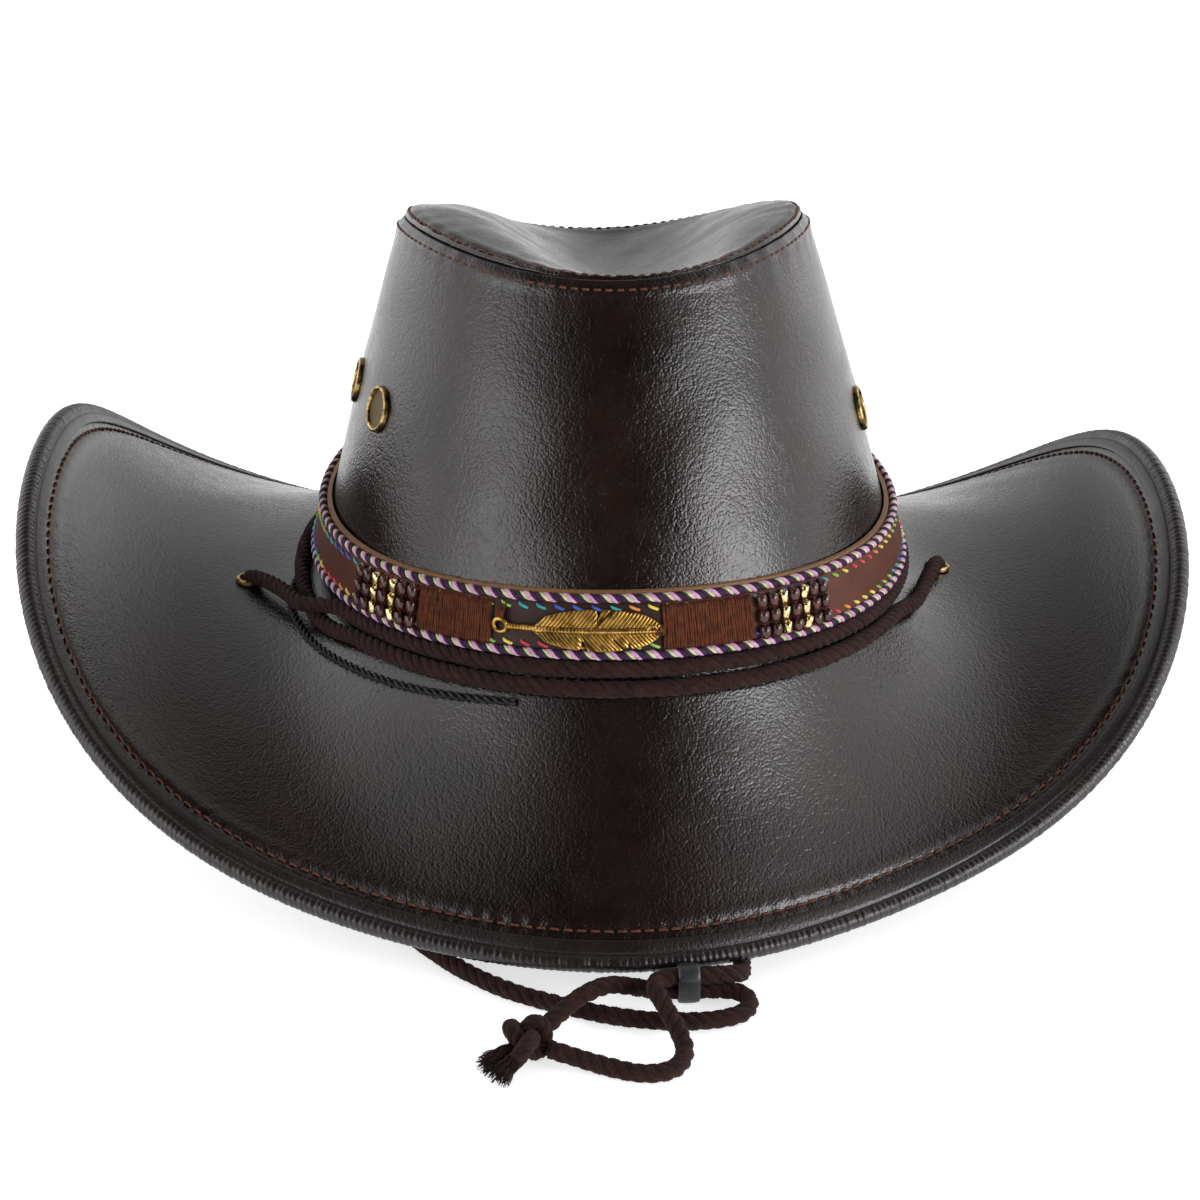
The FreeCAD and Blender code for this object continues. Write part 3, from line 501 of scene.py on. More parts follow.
LEATHER = leather("pebbled_espresso", (0.0050, 0.0025, 0.0021), (0.0120, 0.0060, 0.0049), (0.20, 0.28))
BINDING = leather("binding_espresso", (0.0052, 0.0029, 0.0026), (0.0120, 0.0066, 0.0056), (0.30, 0.42), 0.8)
SWEATBAND = leather("sweatband_brown", (0.022, 0.011, 0.006), (0.045, 0.022, 0.012), (0.42, 0.55), 0.7)
STRAP = leather("strap_brown", (0.050, 0.0155, 0.0095), (0.084, 0.027, 0.0165), (0.50, 0.64), 0.4, 0.18)
# Darker strap leather for the part under the feather charm: painted shade, the charm's shadow painted into
# the strap's colour.
STRAP_PAINTED_SHADE = leather("strap_painted_shade", (0.0150, 0.0052, 0.0038), (0.028, 0.0100, 0.0072), (0.5, 0.64), 0.4,
                     0.25)
BACKING = leather("backing_tan", (0.16, 0.075, 0.026), (0.26, 0.125, 0.045), (0.5, 0.65), 0.5)
THREAD = yarn("thread_brown", (0.048, 0.0145, 0.0082), (0.115, 0.040, 0.0235), 0.6, 2600.0, 0.0)
COTTON = yarn("cotton_dark_brown", (0.0096, 0.0030, 0.0026), (0.030, 0.0105, 0.0084), 0.95, 2400.0, 0.03,
              0.00025)
LACE = yarn("lace_black", (0.006, 0.005, 0.005), (0.020, 0.017, 0.017), 0.38, 2800.0, 0.0)
RUST = yarn("thread_rust", (0.040, 0.0085, 0.0022), (0.112, 0.027, 0.0066), 0.8, 3000.0, 0.0)
PINK = yarn("yarn_pink", (0.40, 0.17, 0.33), (0.66, 0.36, 0.56), 0.6)
LIME = yarn("yarn_lime", (0.34, 0.42, 0.14), (0.62, 0.70, 0.32), 0.6)
VIOLET = yarn("yarn_violet", (0.016, 0.005, 0.020), (0.042, 0.014, 0.050), 0.7, 3200.0, 0.0)
RAINBOW = [
    yarn("yarn_red", (0.36, 0.010, 0.014), (0.60, 0.035, 0.040), 0.5),
    yarn("yarn_orange", (0.50, 0.14, 0.012), (0.72, 0.26, 0.03), 0.5),
    yarn("yarn_yellow", (0.50, 0.38, 0.035), (0.74, 0.60, 0.09), 0.5),
    yarn("yarn_green", (0.13, 0.30, 0.035), (0.26, 0.50, 0.08), 0.5),
    yarn("yarn_teal", (0.012, 0.20, 0.22), (0.03, 0.36, 0.38), 0.5),
    yarn("yarn_blue", (0.012, 0.05, 0.30), (0.035, 0.11, 0.50), 0.5),
]
BRASS = metal("antique_brass", (0.050, 0.034, 0.014), (0.52, 0.37, 0.15))
GOLD = metal("antique_gold", (0.20, 0.105, 0.022), (0.50, 0.29, 0.070), (0.26, 0.42), 420.0)
GOLD_DARK = metal("antique_gold_recess", (0.030, 0.015, 0.004), (0.11, 0.056, 0.014), (0.4, 0.55), 420.0)
GOLD_BEAD = metal("gold_bead", (0.34, 0.24, 0.08), (0.92, 0.74, 0.40), (0.10, 0.24), 700.0)


def plain_finishes():
    """Glass, cloth, felt, steel and moulded plastic."""
    bead = Finish("bead_brown", 0.12, Specular_IOR_Level=0.4, Coat_Weight=0.3, Coat_Roughness=0.06)
    bead.colours(bead.noise(500.0, 3.0), [(0.35, (0.024, 0.0055, 0.0050)), (0.7, (0.078, 0.020, 0.017))])
    bead.roughen(bead.noise(900.0), 0.10, 0.22)
    plastic = Finish("slider_grey", 0.35)
    plastic.colours(plastic.noise(300.0, 4.0), [(0.3, (0.016, 0.016, 0.018)), (0.7, (0.030, 0.030, 0.033))])
    plastic.roughen(plastic.noise(700.0, 4.0), 0.28, 0.45)
    plastic.bump(plastic.noise(2600.0, 3.0), 0.00004, 0.5)
    cloth = Finish("lining_cloth", 0.85, Sheen_Weight=0.2)
    yarns = {"Vector": cloth.place, "Scale": 420.0, "Distortion": 1.5, "Detail": 2.0, "Detail Scale": 3.0}
    weave = cloth.add("ShaderNodeTexWave", yarns, bands_direction="DIAGONAL")
    cross = cloth.add("ShaderNodeTexWave", yarns, bands_direction="Z")
    threads = cloth.sum(weave.outputs["Fac"], cross.outputs["Fac"], "MULTIPLY")
    cloth.colours(threads, [(0.1, (0.020, 0.014, 0.011)), (0.7, (0.060, 0.044, 0.034))])
    cloth.bump(threads, 0.0003, 0.7)
    felt = Finish("stiffener_felt", 0.95)
    felt.colours(felt.noise(900.0, 5.0), [(0.3, (0.020, 0.018, 0.017)), (0.7, (0.060, 0.055, 0.050))])
    felt.bump(felt.noise(2200.0, 4.0), 0.0003, 0.8)
    steel = metal("steel_wire", (0.16, 0.16, 0.17), (0.42, 0.42, 0.43))
    return bead.material, plastic.material, cloth.material, felt.material, steel


BEAD, PLASTIC, CLOTH, FELT, STEEL = plain_finishes()
gauze = Finish("vent_gauze", 0.45, 0.8)
net_x = gauze.add("ShaderNodeTexWave", {"Vector": gauze.place, "Scale": 900.0}, bands_direction="Y")
net_z = gauze.add("ShaderNodeTexWave", {"Vector": gauze.place, "Scale": 900.0}, bands_direction="Z")
mesh_height = gauze.sum(net_x.outputs["Fac"], net_z.outputs["Fac"], "MAXIMUM")
gauze.colours(mesh_height, [(0.25, (0.022, 0.016, 0.007)), (0.9, (0.135, 0.098, 0.040))])
gauze.bump(mesh_height, 0.0002, 0.8)
GAUZE = gauze.material

CAD_FINISHES = {
    "crown_lining": CLOTH, "sweatband": SWEATBAND, "brim_stiffener": FELT, "brim_edge_wire": STEEL,
    "vent_eyelets": BRASS, "vent_eyelet_washers": BRASS, "brim_eyelets": BRASS,
    "brim_eyelet_washers": BRASS, "band_backing": BACKING, "vent_screens": GAUZE,
}
for node, finish in CAD_FINISHES.items():
    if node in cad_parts:
        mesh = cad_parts[node].data
        mesh.materials.clear()
        mesh.materials.append(finish)

# ---- crown

VENTS = [(-14.7, 0.489), (6.7, 0.489), (183.9, 0.555), (205.3, 0.555)]
EYELETS = [(-5.4, 12.7), (185.4, 20.8)]


def away_from_vents(points):
    keep = np.ones(points.shape[:2])
    for angle, share in VENTS:
        spot = wall(np.array(angle), share)
        keep *= 1 - np.exp(-(np.linalg.norm(points - spot, axis=-1) / 9.0) ** 4)
    return keep


def puckers(angle, seed, turns=(26, 64)):
    return ripples(angle, 0.0, 1.0, seed, turns, (50.0, 60.0), 10)


columns = np.linspace(0, 360, 1080, endpoint=False)
below = np.concatenate([np.linspace(93.0, 12.0, 60, endpoint=False), np.linspace(12.0, 0.0, 34)])
angle_net, below_net = np.meshgrid(columns, below)
height_net = wall_height(angle_net)
top_gap = 1.4
share_net = 1 - (top_gap + below_net * (height_net - top_gap - HALF_BRIM) / 93.0) / height_net
swell = ripples(angle_net, below_net, 0.20, 3) * np.clip(below_net / 30.0, 0.25, 1)
swell = swell * away_from_vents(wall(angle_net, share_net))
swell += 0.09 * puckers(angle_net, 5) * np.exp(-below_net / 5.0)
swell -= 0.32 * np.exp(-((below_net - 0.6) / 0.75) ** 2)
swell -= 0.95 * np.exp(-((below_net + 0.35) / 0.95) ** 2)
swell += 0.25 * np.exp(-((below_net - 2.6) / 1.5) ** 2)
outer = wall(angle_net, share_net, swell)
inner_share = np.linspace(share_net[-1].min(), share_net[0].max(), 8)[:, None] + 0 * columns[None, :]
inner = wall(np.broadcast_to(columns, inner_share.shape), inner_share, -1.5)
piece("crown_side", [block(np.concatenate([outer, inner]), wrap_rows=True)], [LEATHER], "root",
      ["crown_side_panel"])

TIP_RADIUS = 58.0
reaches = np.concatenate([
    np.linspace(1.0, 0.86, 30, endpoint=False), np.linspace(0.86, 0.1, 62, endpoint=False),
    np.linspace(0.1, 0.003, 10)])
angle_net, reach_net = np.meshgrid(columns, reaches)
inset = (1 - reach_net) * TIP_RADIUS
front = np.exp(-((((angle_net + 90 + 180) % 360) - 180) / 35.0) ** 2)
lift = ripples(angle_net, inset, 0.16, 8) * np.clip(inset / 14.0, 0, 1) * np.clip(reach_net / 0.3, 0, 1)
near_seam = np.exp(-inset / 6.0) * np.clip(inset / 1.5, 0, 1)
lift += (0.14 + 0.2 * front) * puckers(angle_net, 9, (20, 46)) * near_seam
lift -= 0.30 * np.exp(-((inset - 2.0) / 0.75) ** 2)
lift += 0.30 * np.exp(-((inset - 4.2) / 2.0) ** 2)
lift -= 0.75 * np.exp(-((inset + 0.2) / 1.0) ** 2)
tip_top = tip(angle_net, reach_net * (1 - 0.016 * np.exp(-(inset / 0.9) ** 2)), lift)
tip_under = tip(angle_net[::-6], reach_net[::-6] * 0.985, -1.4)
tip_edge = tip_top[:1] - [0, 0, 1.3]
piece("crown_tip", [block(np.concatenate([tip_under[:-1], tip_edge, tip_top]))], [LEATHER], "root",
      ["crown_tip_panel"])


def wall_way(angle):
    return numeric_normal(lambda a, up: wall(a, up / 95.0), angle, 92.0, outward(angle))


piece("crown_lower_stitches", stitch_row(
    lambda a: wall(a, 1 - 3.5 / wall_height(a), -0.05), wall_way, 2.9, 0.72, 0.33, rise=0.3),
    [THREAD], "root", ["crown_lower_stitching"])
piece("crown_upper_stitches", stitch_row(
    lambda a: tip(a, 1 - 2.0 / TIP_RADIUS, -0.16),
    lambda a: vector(0.25 * cos(a), 0.25 * sin(a), 1.0), 2.9, 0.72, 0.31, rise=0.16),
    [THREAD], "root", ["crown_upper_stitching"])

# ---- brim

columns = np.linspace(0, 360, 1440, endpoint=False)
edge_inset = np.linspace(16.0, 1.4, 26)
main = np.linspace(0.0, 1.0, 44, endpoint=False)


def brim_skin(lift, sign, seed):
    """Net of one face of the brim, from the head opening to just short of the edge."""
    span = edge_centre(columns)
    rows = [np.full_like(columns, v) for v in (-3.7, -1.8)]
    rows += [(span - 16.0) * share for share in main]
    rows += [span - inset for inset in edge_inset]
    along = np.array(rows)
    angle = np.broadcast_to(columns, along.shape)
    to_edge = edge_centre(angle) + EDGE_RADIUS - along
    swell = ripples(angle, along, 0.17, seed, (3, 14), (26.0, 90.0)) * np.clip(along / 12.0, 0, 1)
    swell = swell * np.clip((to_edge - 9.0) / 12.0, 0.1, 1)
    swell -= 0.34 * np.exp(-((to_edge - EDGE_STITCH_INSET) / 0.9) ** 2)
    swell += 0.22 * np.exp(-((to_edge - 12.2) / 1.8) ** 2)
    swell += 0.07 * puckers(angle, seed + 1, (120, 260)) * np.exp(-((to_edge - 9.8) / 2.2) ** 2)
    for eye, inset in EYELETS:
        spot = brim(np.array(eye), inset, lift)
        swell = swell * (1 - np.exp(-(np.linalg.norm(brim(angle, along, lift) - spot, axis=-1) / 8.0) ** 4))
    return angle, along, brim(angle, along, lift + sign * swell)


for name, sign, node, seed in (
        ("brim_top_cover", 1, "brim_upper_panel", 21),
        ("brim_under_cover", -1, "brim_under_panel", 33)):
    angle, along, face = brim_skin(sign * HALF_BRIM, sign, seed)
    back = brim(angle[::-4], along[::-4], sign * 0.5)
    piece(name, [block(np.concatenate([face, back]), wrap_rows=True)], [LEATHER], "root",
          [node])

# Binding: a rolled edge with fine chevron ridges, a groove and a flat hem.
PROFILE = smooth_section([
    (-5.0, 1.62), (-5.0, 2.1), (-4.4, 2.38), (-3.0, 2.36), (-1.9, 2.2), (-1.35, 1.78), (-0.8, 2.1),
    (0.1, 2.46), (1.2, 2.3), (2.1, 1.5), (2.5, 0.0), (2.1, -1.5), (1.2, -2.3), (0.1, -2.46),
    (-0.8, -2.1), (-1.35, -1.78), (-1.9, -2.2), (-3.0, -2.36), (-4.4, -2.38), (-5.0, -2.1),
    (-5.0, -1.62), (1.0, -1.62), (1.0, 1.62),
])
RIM_STEP, RIDGE_PITCH = 0.3, 1.55
rim_angles = angles_by_length(lambda a: brim(a, edge_centre(a)), RIM_STEP)
ridges = round(len(rim_angles) * RIM_STEP / RIDGE_PITCH)
ridge = 2 * np.pi * np.arange(len(rim_angles)) / len(rim_angles) * ridges
along_net, angle_net = np.meshgrid(PROFILE[:, 0], rim_angles, indexing="ij")
lift_net = np.broadcast_to(PROFILE[:, 1][:, None], along_net.shape)
outside = (np.abs(lift_net) > 1.7) | (along_net > 1.3)
roll = np.clip((along_net + 1.1) / 0.9, 0, 1) * outside
chevron = ridge[None, :] + 1.1 * np.abs(lift_net) + 0.7 * np.sin(ridge / 23.0)[None, :]
bump = roll * (0.17 * np.abs(np.sin(chevron / 2)) + 0.05 * puckers(angle_net, 41, (150, 400)))
reach = 1 + bump / EDGE_RADIUS
net = brim(angle_net, edge_centre(angle_net) + along_net * np.where(roll > 0, reach, 1.0), lift_net * reach)
piece("brim_binding", [block(net, wrap_rows=True)], [BINDING], "root",
      ["brim_edge_binding"])


def edge_row(sign):
    def place(angle):
        along = edge_centre(angle) + EDGE_RADIUS - EDGE_STITCH_INSET
        return brim(angle, along, sign * (HALF_BRIM - 0.3))

    def way(angle):
        up = brim(angle, edge_centre(angle) - 7.2, 1.0) - brim(angle, edge_centre(angle) - 7.2, 0.0)
        return up * sign
    return stitch_row(place, way, 3.3, 0.76, 0.36, rise=0.38)


piece("brim_edge_stitches", edge_row(1) + edge_row(-1), [THREAD], "root",
      ["brim_edge_stitching"])

# ---- hat band

STRAP_PROFILE = smooth_section([
    (1.2, BAND_LOW + 0.9), (2.35, BAND_LOW + 0.9), (2.6, BAND_LOW + 1.6), (2.62, BAND_LOW + 4.0),
    (2.62, BAND_HIGH - 4.0), (2.6, BAND_HIGH - 1.6), (2.35, BAND_HIGH - 0.9), (1.2, BAND_HIGH - 0.9)], 2)


def strap_block(first, last, finish, sink):
    angles = angles_by_length(lambda a: band_point(a, 17.0, 2.6), 1.2, first, last, False)
    angle, index = np.meshgrid(angles, np.arange(len(STRAP_PROFILE)), indexing="ij")
    depth = STRAP_PROFILE[index, 0] - sink * (STRAP_PROFILE[index, 0] > 2.0)
    net = band_point(angle, STRAP_PROFILE[index, 1], depth)
    return block(net, finish=finish)


# The strap under the feather charm gets the darker leather, which is painted shade from the charm, and is
# sunk a little.
strap_blocks = [strap_block(-85.4, 245.2, 0, 0.0), strap_block(-115.0, -85.2, 1, 0.12)]
piece("strap", strap_blocks, [STRAP, STRAP_PAINTED_SHADE], "hatband", ["band_strap"])

PIPING_DEPTH = 2.2
PIPING_FINISHES = [PINK, LIME, VIOLET, VIOLET]
PIPING_STEP = 0.34
PIPING_LAY = 5.2
PIPING_STRAND_RADII = (0.66, 0.48, 0.62, 0.62)
for name, up, node in (
        ("piping_low", BAND_LOW, "band_piping_lower"),
        ("piping_high", BAND_HIGH, "band_piping_upper")):
    angles = angles_by_length(lambda a: band_point(a, up, PIPING_DEPTH), PIPING_STEP)
    path = band_point(angles, up, PIPING_DEPTH)
    turns = round(len(angles) * PIPING_STEP / PIPING_LAY)
    upward = np.broadcast_to([0.0, 0.0, 1.0], path.shape)
    yarns = rope(path, outward(angles), upward, 4, 0.60, PIPING_STRAND_RADII, turns, 10, 4, 0.07,
                 PIPING_STEP, True, [0, 1, 2, 3], False, -1.0, 1.6)
    piece(name, yarns, PIPING_FINISHES, "hatband", [node])


def rainbow(i):
    return (0, 0, 0, 1, 2, 2, 2, 3, 3, 3, 4, 4, 5, 5, 5, 4, 3, 2)[i % 18]


for name, up, node, slant, start in (
        ("edge_threads_low", BAND_LOW + 2.2, "band_thread_lower", -0.45, 7),
        ("edge_threads_high", BAND_HIGH - 2.2, "band_thread_upper", -0.45, 3)):
    piece(name, stitch_row(
        lambda a: band_point(a, up, BAND_FACE - 0.06), outward, 4.7, 0.60, 0.40, slant,
        finish=lambda i: rainbow(i + start), rise=0.25), RAINBOW, "hatband", [node])


def wrap_blocks(first, last):
    """Threads wound side by side across the strap."""
    angles = angles_by_length(lambda a: band_point(a, 17.0, 3.0), 0.62, first, last, False)
    blocks = []
    rows = np.linspace(-1, 1, 15)
    for layer, (depth, thin) in enumerate(((0.52, 1.0), (0.84, 0.92))):
        for angle in angles if layer == 0 else angles[1:-1]:
            lean = chance.uniform(-0.10, 0.10, 3)
            wave = 0.5 * np.sin(rows * 2.4 + lean[2] * 30)
            spots = angle + 0.16 * (lean[0] * 2 + lean[1] * rows * 3 + wave)
            half = 5.12 + chance.uniform(-0.12, 0.12)
            up = BAND_MIDDLE + rows * half
            bow = depth + 0.12 * lean[2] - 0.45 * np.abs(rows) ** 14
            path = band_point(spots + 0.18 * layer, up, BAND_FACE + bow)
            blocks.append(block(strand(path, outward(spots), 0.34 * thin, 7, 3, 0.10, 1.3, 0.7)))
    return blocks


for name, first, last, node in (
        ("wound_thread_left", -129.2, -115.0, "thread_wrap_left"),
        ("wound_thread_right", -85.2, -69.6, "thread_wrap_right")):
    piece(name, wrap_blocks(first, last), [RUST], "hatband", [node])


def lathe_net(centre, axis, side, profile, sides, lobes=0, depth=0.0):
    """A turned form: profile is (radius, height) pairs from end to end."""
    profile = np.asarray(profile, float)
    other = np.cross(axis, side)
    turn = np.linspace(0, 2 * np.pi, sides, endpoint=False)
    shape = 1 + depth * np.cos(lobes * turn)
    ring = np.cos(turn)[:, None] * side + np.sin(turn)[:, None] * other
    return (centre + axis * profile[:, 1][:, None, None]
            + ring[None] * (profile[:, 0][:, None] * shape[None, :])[..., None])


SEED_BEAD = [
    (0.42, 1.52), (0.85, 1.72), (1.22, 1.42), (1.44, 0.60), (1.45, -0.50), (1.28, -1.36), (0.85, -1.72),
    (0.42, -1.52), (0.36, -0.4), (0.36, 0.4)]
GOLD_TUBE = [
    (0.40, 1.62), (0.80, 1.80), (1.14, 1.52), (1.28, 0.75), (1.30, 0.0), (1.28, -0.75), (1.14, -1.52),
    (0.80, -1.80), (0.40, -1.62), (0.34, -0.5), (0.34, 0.5)]
BEAD_ROW_PITCH = 3.68
brown_blocks, gold_blocks, string_blocks = [], [], []
for first, last in ((-144.6, -130.6), (-67.6, -54.2)):
    for column in range(7):
        angle = first + (last - first) * column / 6
        golden = column in (2, 4)
        for row in range(3):
            up = BAND_MIDDLE + (row - 1) * BEAD_ROW_PITCH
            tilt = chance.uniform(-0.13, 0.13, 2)
            side = outward(np.array(angle))
            across = np.cross([0, 0, 1.0], side)
            slant = tilt[0] * (1.8 if golden else 1.0)
            axis = unit(np.array([0, 0, 1.0]) + across * slant + side * tilt[1])
            side = unit(side - axis * side.dot(axis))
            centre = band_point(np.array(angle), up, BAND_FACE + 1.35)
            net = lathe_net(centre, axis, side, GOLD_TUBE if golden else SEED_BEAD, 18, 6 if golden else 0,
                            0.05 if golden else 0.0)
            (gold_blocks if golden else brown_blocks).append(block(net, wrap_rows=True))
        path = band_point(np.full(9, angle), np.linspace(-5.0, 5.0, 9) + 16.9, BAND_FACE + 1.3)
        path[[0, -1]] -= outward(np.array(angle)) * 1.5
        away = np.broadcast_to(outward(np.array(angle)), path.shape)
        string_blocks.append(block(strand(path, away, 0.3, 6)))
piece("seed_beads", brown_blocks, [BEAD], "hatband", ["brown_beads"])
piece("gold_tube_beads", gold_blocks, [GOLD_BEAD], "hatband", ["gold_beads"])
piece("bead_strings", string_blocks, [THREAD], "hatband")

# Feather charm: a leaf with a raised rib, slanting barbs and two notches, a wound neck and a ring.
FEATHER_FIRST, FEATHER_LAST = -111.8, -85.7
FEATHER_UP = BAND_MIDDLE - 0.4
leaf_along = np.linspace(0.0, 1.0, 420)
leaf_side = np.linspace(-1, 1, 57)
share, side = np.meshgrid(leaf_along, leaf_side, indexing="ij")
leaf = np.clip((share - 0.16) / 0.84, 0, 1)
half = 0.35 + 4.6 * np.sin(np.pi * np.clip(leaf * 0.90 + 0.03, 0, 1)) ** 0.62 * np.clip(leaf * 9, 0, 1)
half *= np.where(leaf > 0.86, np.sqrt(np.clip(1 - ((leaf - 0.86) / 0.145) ** 2, 0.01, 1)), 1.0)


def notch(at, depth, width, lower):
    """How much a cut that slants back towards the quill takes from the leaf's edge."""
    centre = at - 0.045 * (1 - np.abs(side))
    cut = depth * np.exp(-((share - centre) / width) ** 2)
    return np.where((side < 0) == lower, cut, 0.0)


trim = 1 - notch(0.60, 0.55, 0.011, False) - notch(0.50, 0.62, 0.016, True) - notch(0.79, 0.30, 0.010, True)
across = side * half * trim
barbs = np.sin(2 * np.pi * (share * 38.0 - np.abs(across) * 0.85))
inside_edge = np.clip((half - np.abs(across)) / 0.4, 0.2, 1)
relief = 0.11 * barbs * np.clip(np.abs(across) / 0.5 - 0.8, 0, 1) * inside_edge
relief = relief + 0.42 * np.exp(-(across / 0.42) ** 2) * (1 + 0.22 * np.sin(2 * np.pi * share * 46))
relief = relief * np.clip(leaf * 8, 0.0, 1) + 0.25 * np.exp(-(across / 0.5) ** 2) * (leaf <= 0)
dish = 0.35 * (1 - (side * half / 4.6) ** 2)
feather_angle = FEATHER_FIRST + (FEATHER_LAST - FEATHER_FIRST) * share
thickness = np.clip(1 - np.abs(side) ** 6, 0.25, 1)
# Cuts between the barbs: on the lower half or not, place at the edge, place and reach at the inner end.
FEATHER_CUTS = [(False, 0.70, 0.55, 0.05), (True, 0.57, 0.49, 0.35), (True, 0.76, 0.69, 0.40)]
for low_side, edge_share, root_share, root_side in FEATHER_CUTS:
    reach_in = np.clip((np.abs(side) - root_side) / (1 - root_side), -0.2, 1)
    off = share - (root_share + (edge_share - root_share) * reach_in)
    cut = np.exp(-(off / 0.009) ** 2) * ((side < 0) == low_side) * (reach_in > 0)
    relief = relief - 0.55 * cut
hollow = (relief < -0.035) | ((np.abs(across) > 0.55) & (np.abs(across) < 0.80) & (leaf > 0.02))
top_depth = BAND_FACE + 0.75 + dish + relief + 0.25 * thickness
top = band_point(feather_angle, FEATHER_UP + across, top_depth)
under = band_point(feather_angle, FEATHER_UP + across, BAND_FACE + 0.70 + dish * 0.6)
leaf_net = np.concatenate([top, under[:, ::-1]], axis=1)
leaf_finish = np.zeros(leaf_net.shape[:2], int)
leaf_finish[:, :hollow.shape[1]] = hollow
leaf_finish[:, hollow.shape[1]:] = 1


def charm_ring(angle, depth, radius, wire, sides):
    """A ring of wire that lies flat on the band."""
    away = outward(np.array(angle))
    turn = np.linspace(0, 2 * np.pi, 40, endpoint=False)[:, None]
    ways = np.cos(turn) * np.cross([0, 0, 1.0], away) + np.sin(turn) * np.array([0, 0, 1.0])
    middle = band_point(np.array(angle), FEATHER_UP, BAND_FACE + depth)
    return block(strand(middle + ways * radius, ways, wire, sides, closed=True), wrap_rows=True)


ring_angle = FEATHER_FIRST - 1.2
hang_ring = charm_ring(ring_angle, 0.95, 1.75, 0.55, 12)
grommet = charm_ring(FEATHER_LAST - 1.6, 1.15, 1.15, 0.36, 10)
neck_share = np.linspace(0.0, 0.20, 90)
neck_angle = FEATHER_FIRST + (FEATHER_LAST - FEATHER_FIRST) * neck_share
neck_path = band_point(neck_angle, FEATHER_UP, BAND_FACE + 0.95)
neck_up = np.broadcast_to([0.0, 0.0, 1.0], neck_path.shape)
neck_blocks = rope(neck_path, outward(neck_angle), neck_up, 2, 0.42, 0.42, 5.0, 8, 0, 0.0, 0.1,
                   placed=False)
leaf_block = block(leaf_net, finish=leaf_finish[:-1].ravel())
piece("feather", [leaf_block, hang_ring, grommet] + neck_blocks,
      [GOLD, GOLD_DARK], "hatband", ["feather_charm"])


def lace_turns(angle, low, high, count, spread_by):
    """Turns of thread from the strap's edge through the charm."""
    blocks = []
    for i in range(count):
        spots = angle + spread_by * (i - (count - 1) / 2) + np.linspace(-0.2, 0.2, 14)
        bow = np.sin(np.linspace(0, np.pi, 14))
        path = band_point(spots, np.linspace(low, high, 14), BAND_FACE + 0.1 + 1.5 * bow)
        blocks.append(block(strand(path, outward(spots), 0.33, 7, 3, 0.1, 1.2, 0.4)))
    return blocks


left_turns = lace_turns(ring_angle, FEATHER_UP + 0.9, BAND_HIGH - 1.9, 4, 0.34)
right_turns = lace_turns(FEATHER_LAST - 1.4, FEATHER_UP - 0.2, FEATHER_UP + 1.1, 2, 0.4)
right_turns += lace_turns(FEATHER_LAST - 0.4, FEATHER_UP - 1.6, FEATHER_UP + 0.9, 3, 0.5)
piece("charm_tie_left", left_turns, [RUST], "hatband", ["feather_lace_left"])
piece("charm_tie_right", right_turns, [RUST], "hatband", ["feather_lace_right"])

# ---- chin cord


def cord_blocks(line, radius=0.0022, lay=0.0125):
    """Four cotton strands laid into a cord along a line in metres."""
    side_a, side_b = travelling_frames(line)
    length = np.linalg.norm(np.diff(line, axis=0), axis=1).sum()
    return rope(line, side_a, side_b, 4, radius * 0.47, radius * 0.55, length / lay, 14, 5, 0.09, 0.8,
                yarn_pitch=2.6)


def eyelet_axis(eyelet, up):
    angle, inset = eyelet
    place = brim(np.array(angle), inset, HALF_BRIM + 0.2)
    way = unit(brim(np.array(angle), inset, 1.0) - brim(np.array(angle), inset, 0.0))
    return place + way * up


def on_brim(angle, along, lift=0.0):
    return brim(np.array(float(angle)), np.array(along), HALF_BRIM + 2.1 + lift)


def near_wall(angle, up, out):
    return wall_at(np.array(float(angle)), up, out)


held = [eyelet_axis(EYELETS[1], up) for up in (-4.8, -2.4, 0.0, 1.6)]
held += [on_brim(-171.5, 16.4, 1.7), on_brim(-168, 12.4, 2.8)]
held += [on_brim(-163.5, 9.2, 3.8), on_brim(-158.5, 7.4, 4.3)]
held += [near_wall(-153.5, 7.2, 4.2), near_wall(-149, 6.9, 3.0)]
held += [near_wall(a, 6.7, 2.25) for a in np.linspace(-144, 144, 73)]
held += [near_wall(152, 4.9, 3.4), near_wall(160, 3.4, 4.8)]
held += [on_brim(170, 5.2), on_brim(180, 5.2), on_brim(190, 5.0), on_brim(199, 4.6), on_brim(207, 4.4)]
held += [near_wall(a, 2.3 + 1.2 * cos(a) ** 2, 3.0 + 1.7 * cos(a) ** 2) for a in np.linspace(-145, -30, 24)]
held += [on_brim(-24, 4.6, 0.2), on_brim(-18.5, 5.6, 0.9)]
held += [on_brim(-13.5, 7.2, 1.8), on_brim(-9.5, 9.6, 2.4)]
held += [eyelet_axis(EYELETS[0], up) for up in (1.6, 0.0, -2.4, -4.8)]
held_line = spline_points([(p + CROWN_CENTRE) * MM for p in held], 4)
piece("cord_round_crown", cord_blocks(held_line), [COTTON], "root", ["chin_cord_crown_wrap"])

LACE_ROUTE = [
    (184.5, 4.6), (187, 6.6), (190.4, 8.4), (194.2, 9.7), (198.2, 10.2), (202.4, 10.2), (207.2, 9.8),
    (213, 8.9), (221.2, 7.5), (228.9, 6.3), (236, 5.3), (243, 4.5), (250, 3.6)]
lace = [brim(np.array(float(a)), np.array(along), HALF_BRIM + 1.2) for a, along in LACE_ROUTE]
lace_line = spline_points([(p + CROWN_CENTRE) * MM for p in lace], 4, 0.0005)
lace_a, lace_b = travelling_frames(lace_line)
lace_length = np.linalg.norm(np.diff(lace_line, axis=0), axis=1).sum()
lace_blocks = rope(lace_line, lace_a, lace_b, 2, 0.00052, 0.00062, lace_length / 0.0052, 10, 0, 0.0, 0.5)
piece("tie_lace", lace_blocks, [LACE], "root", ["band_tie_lace"])

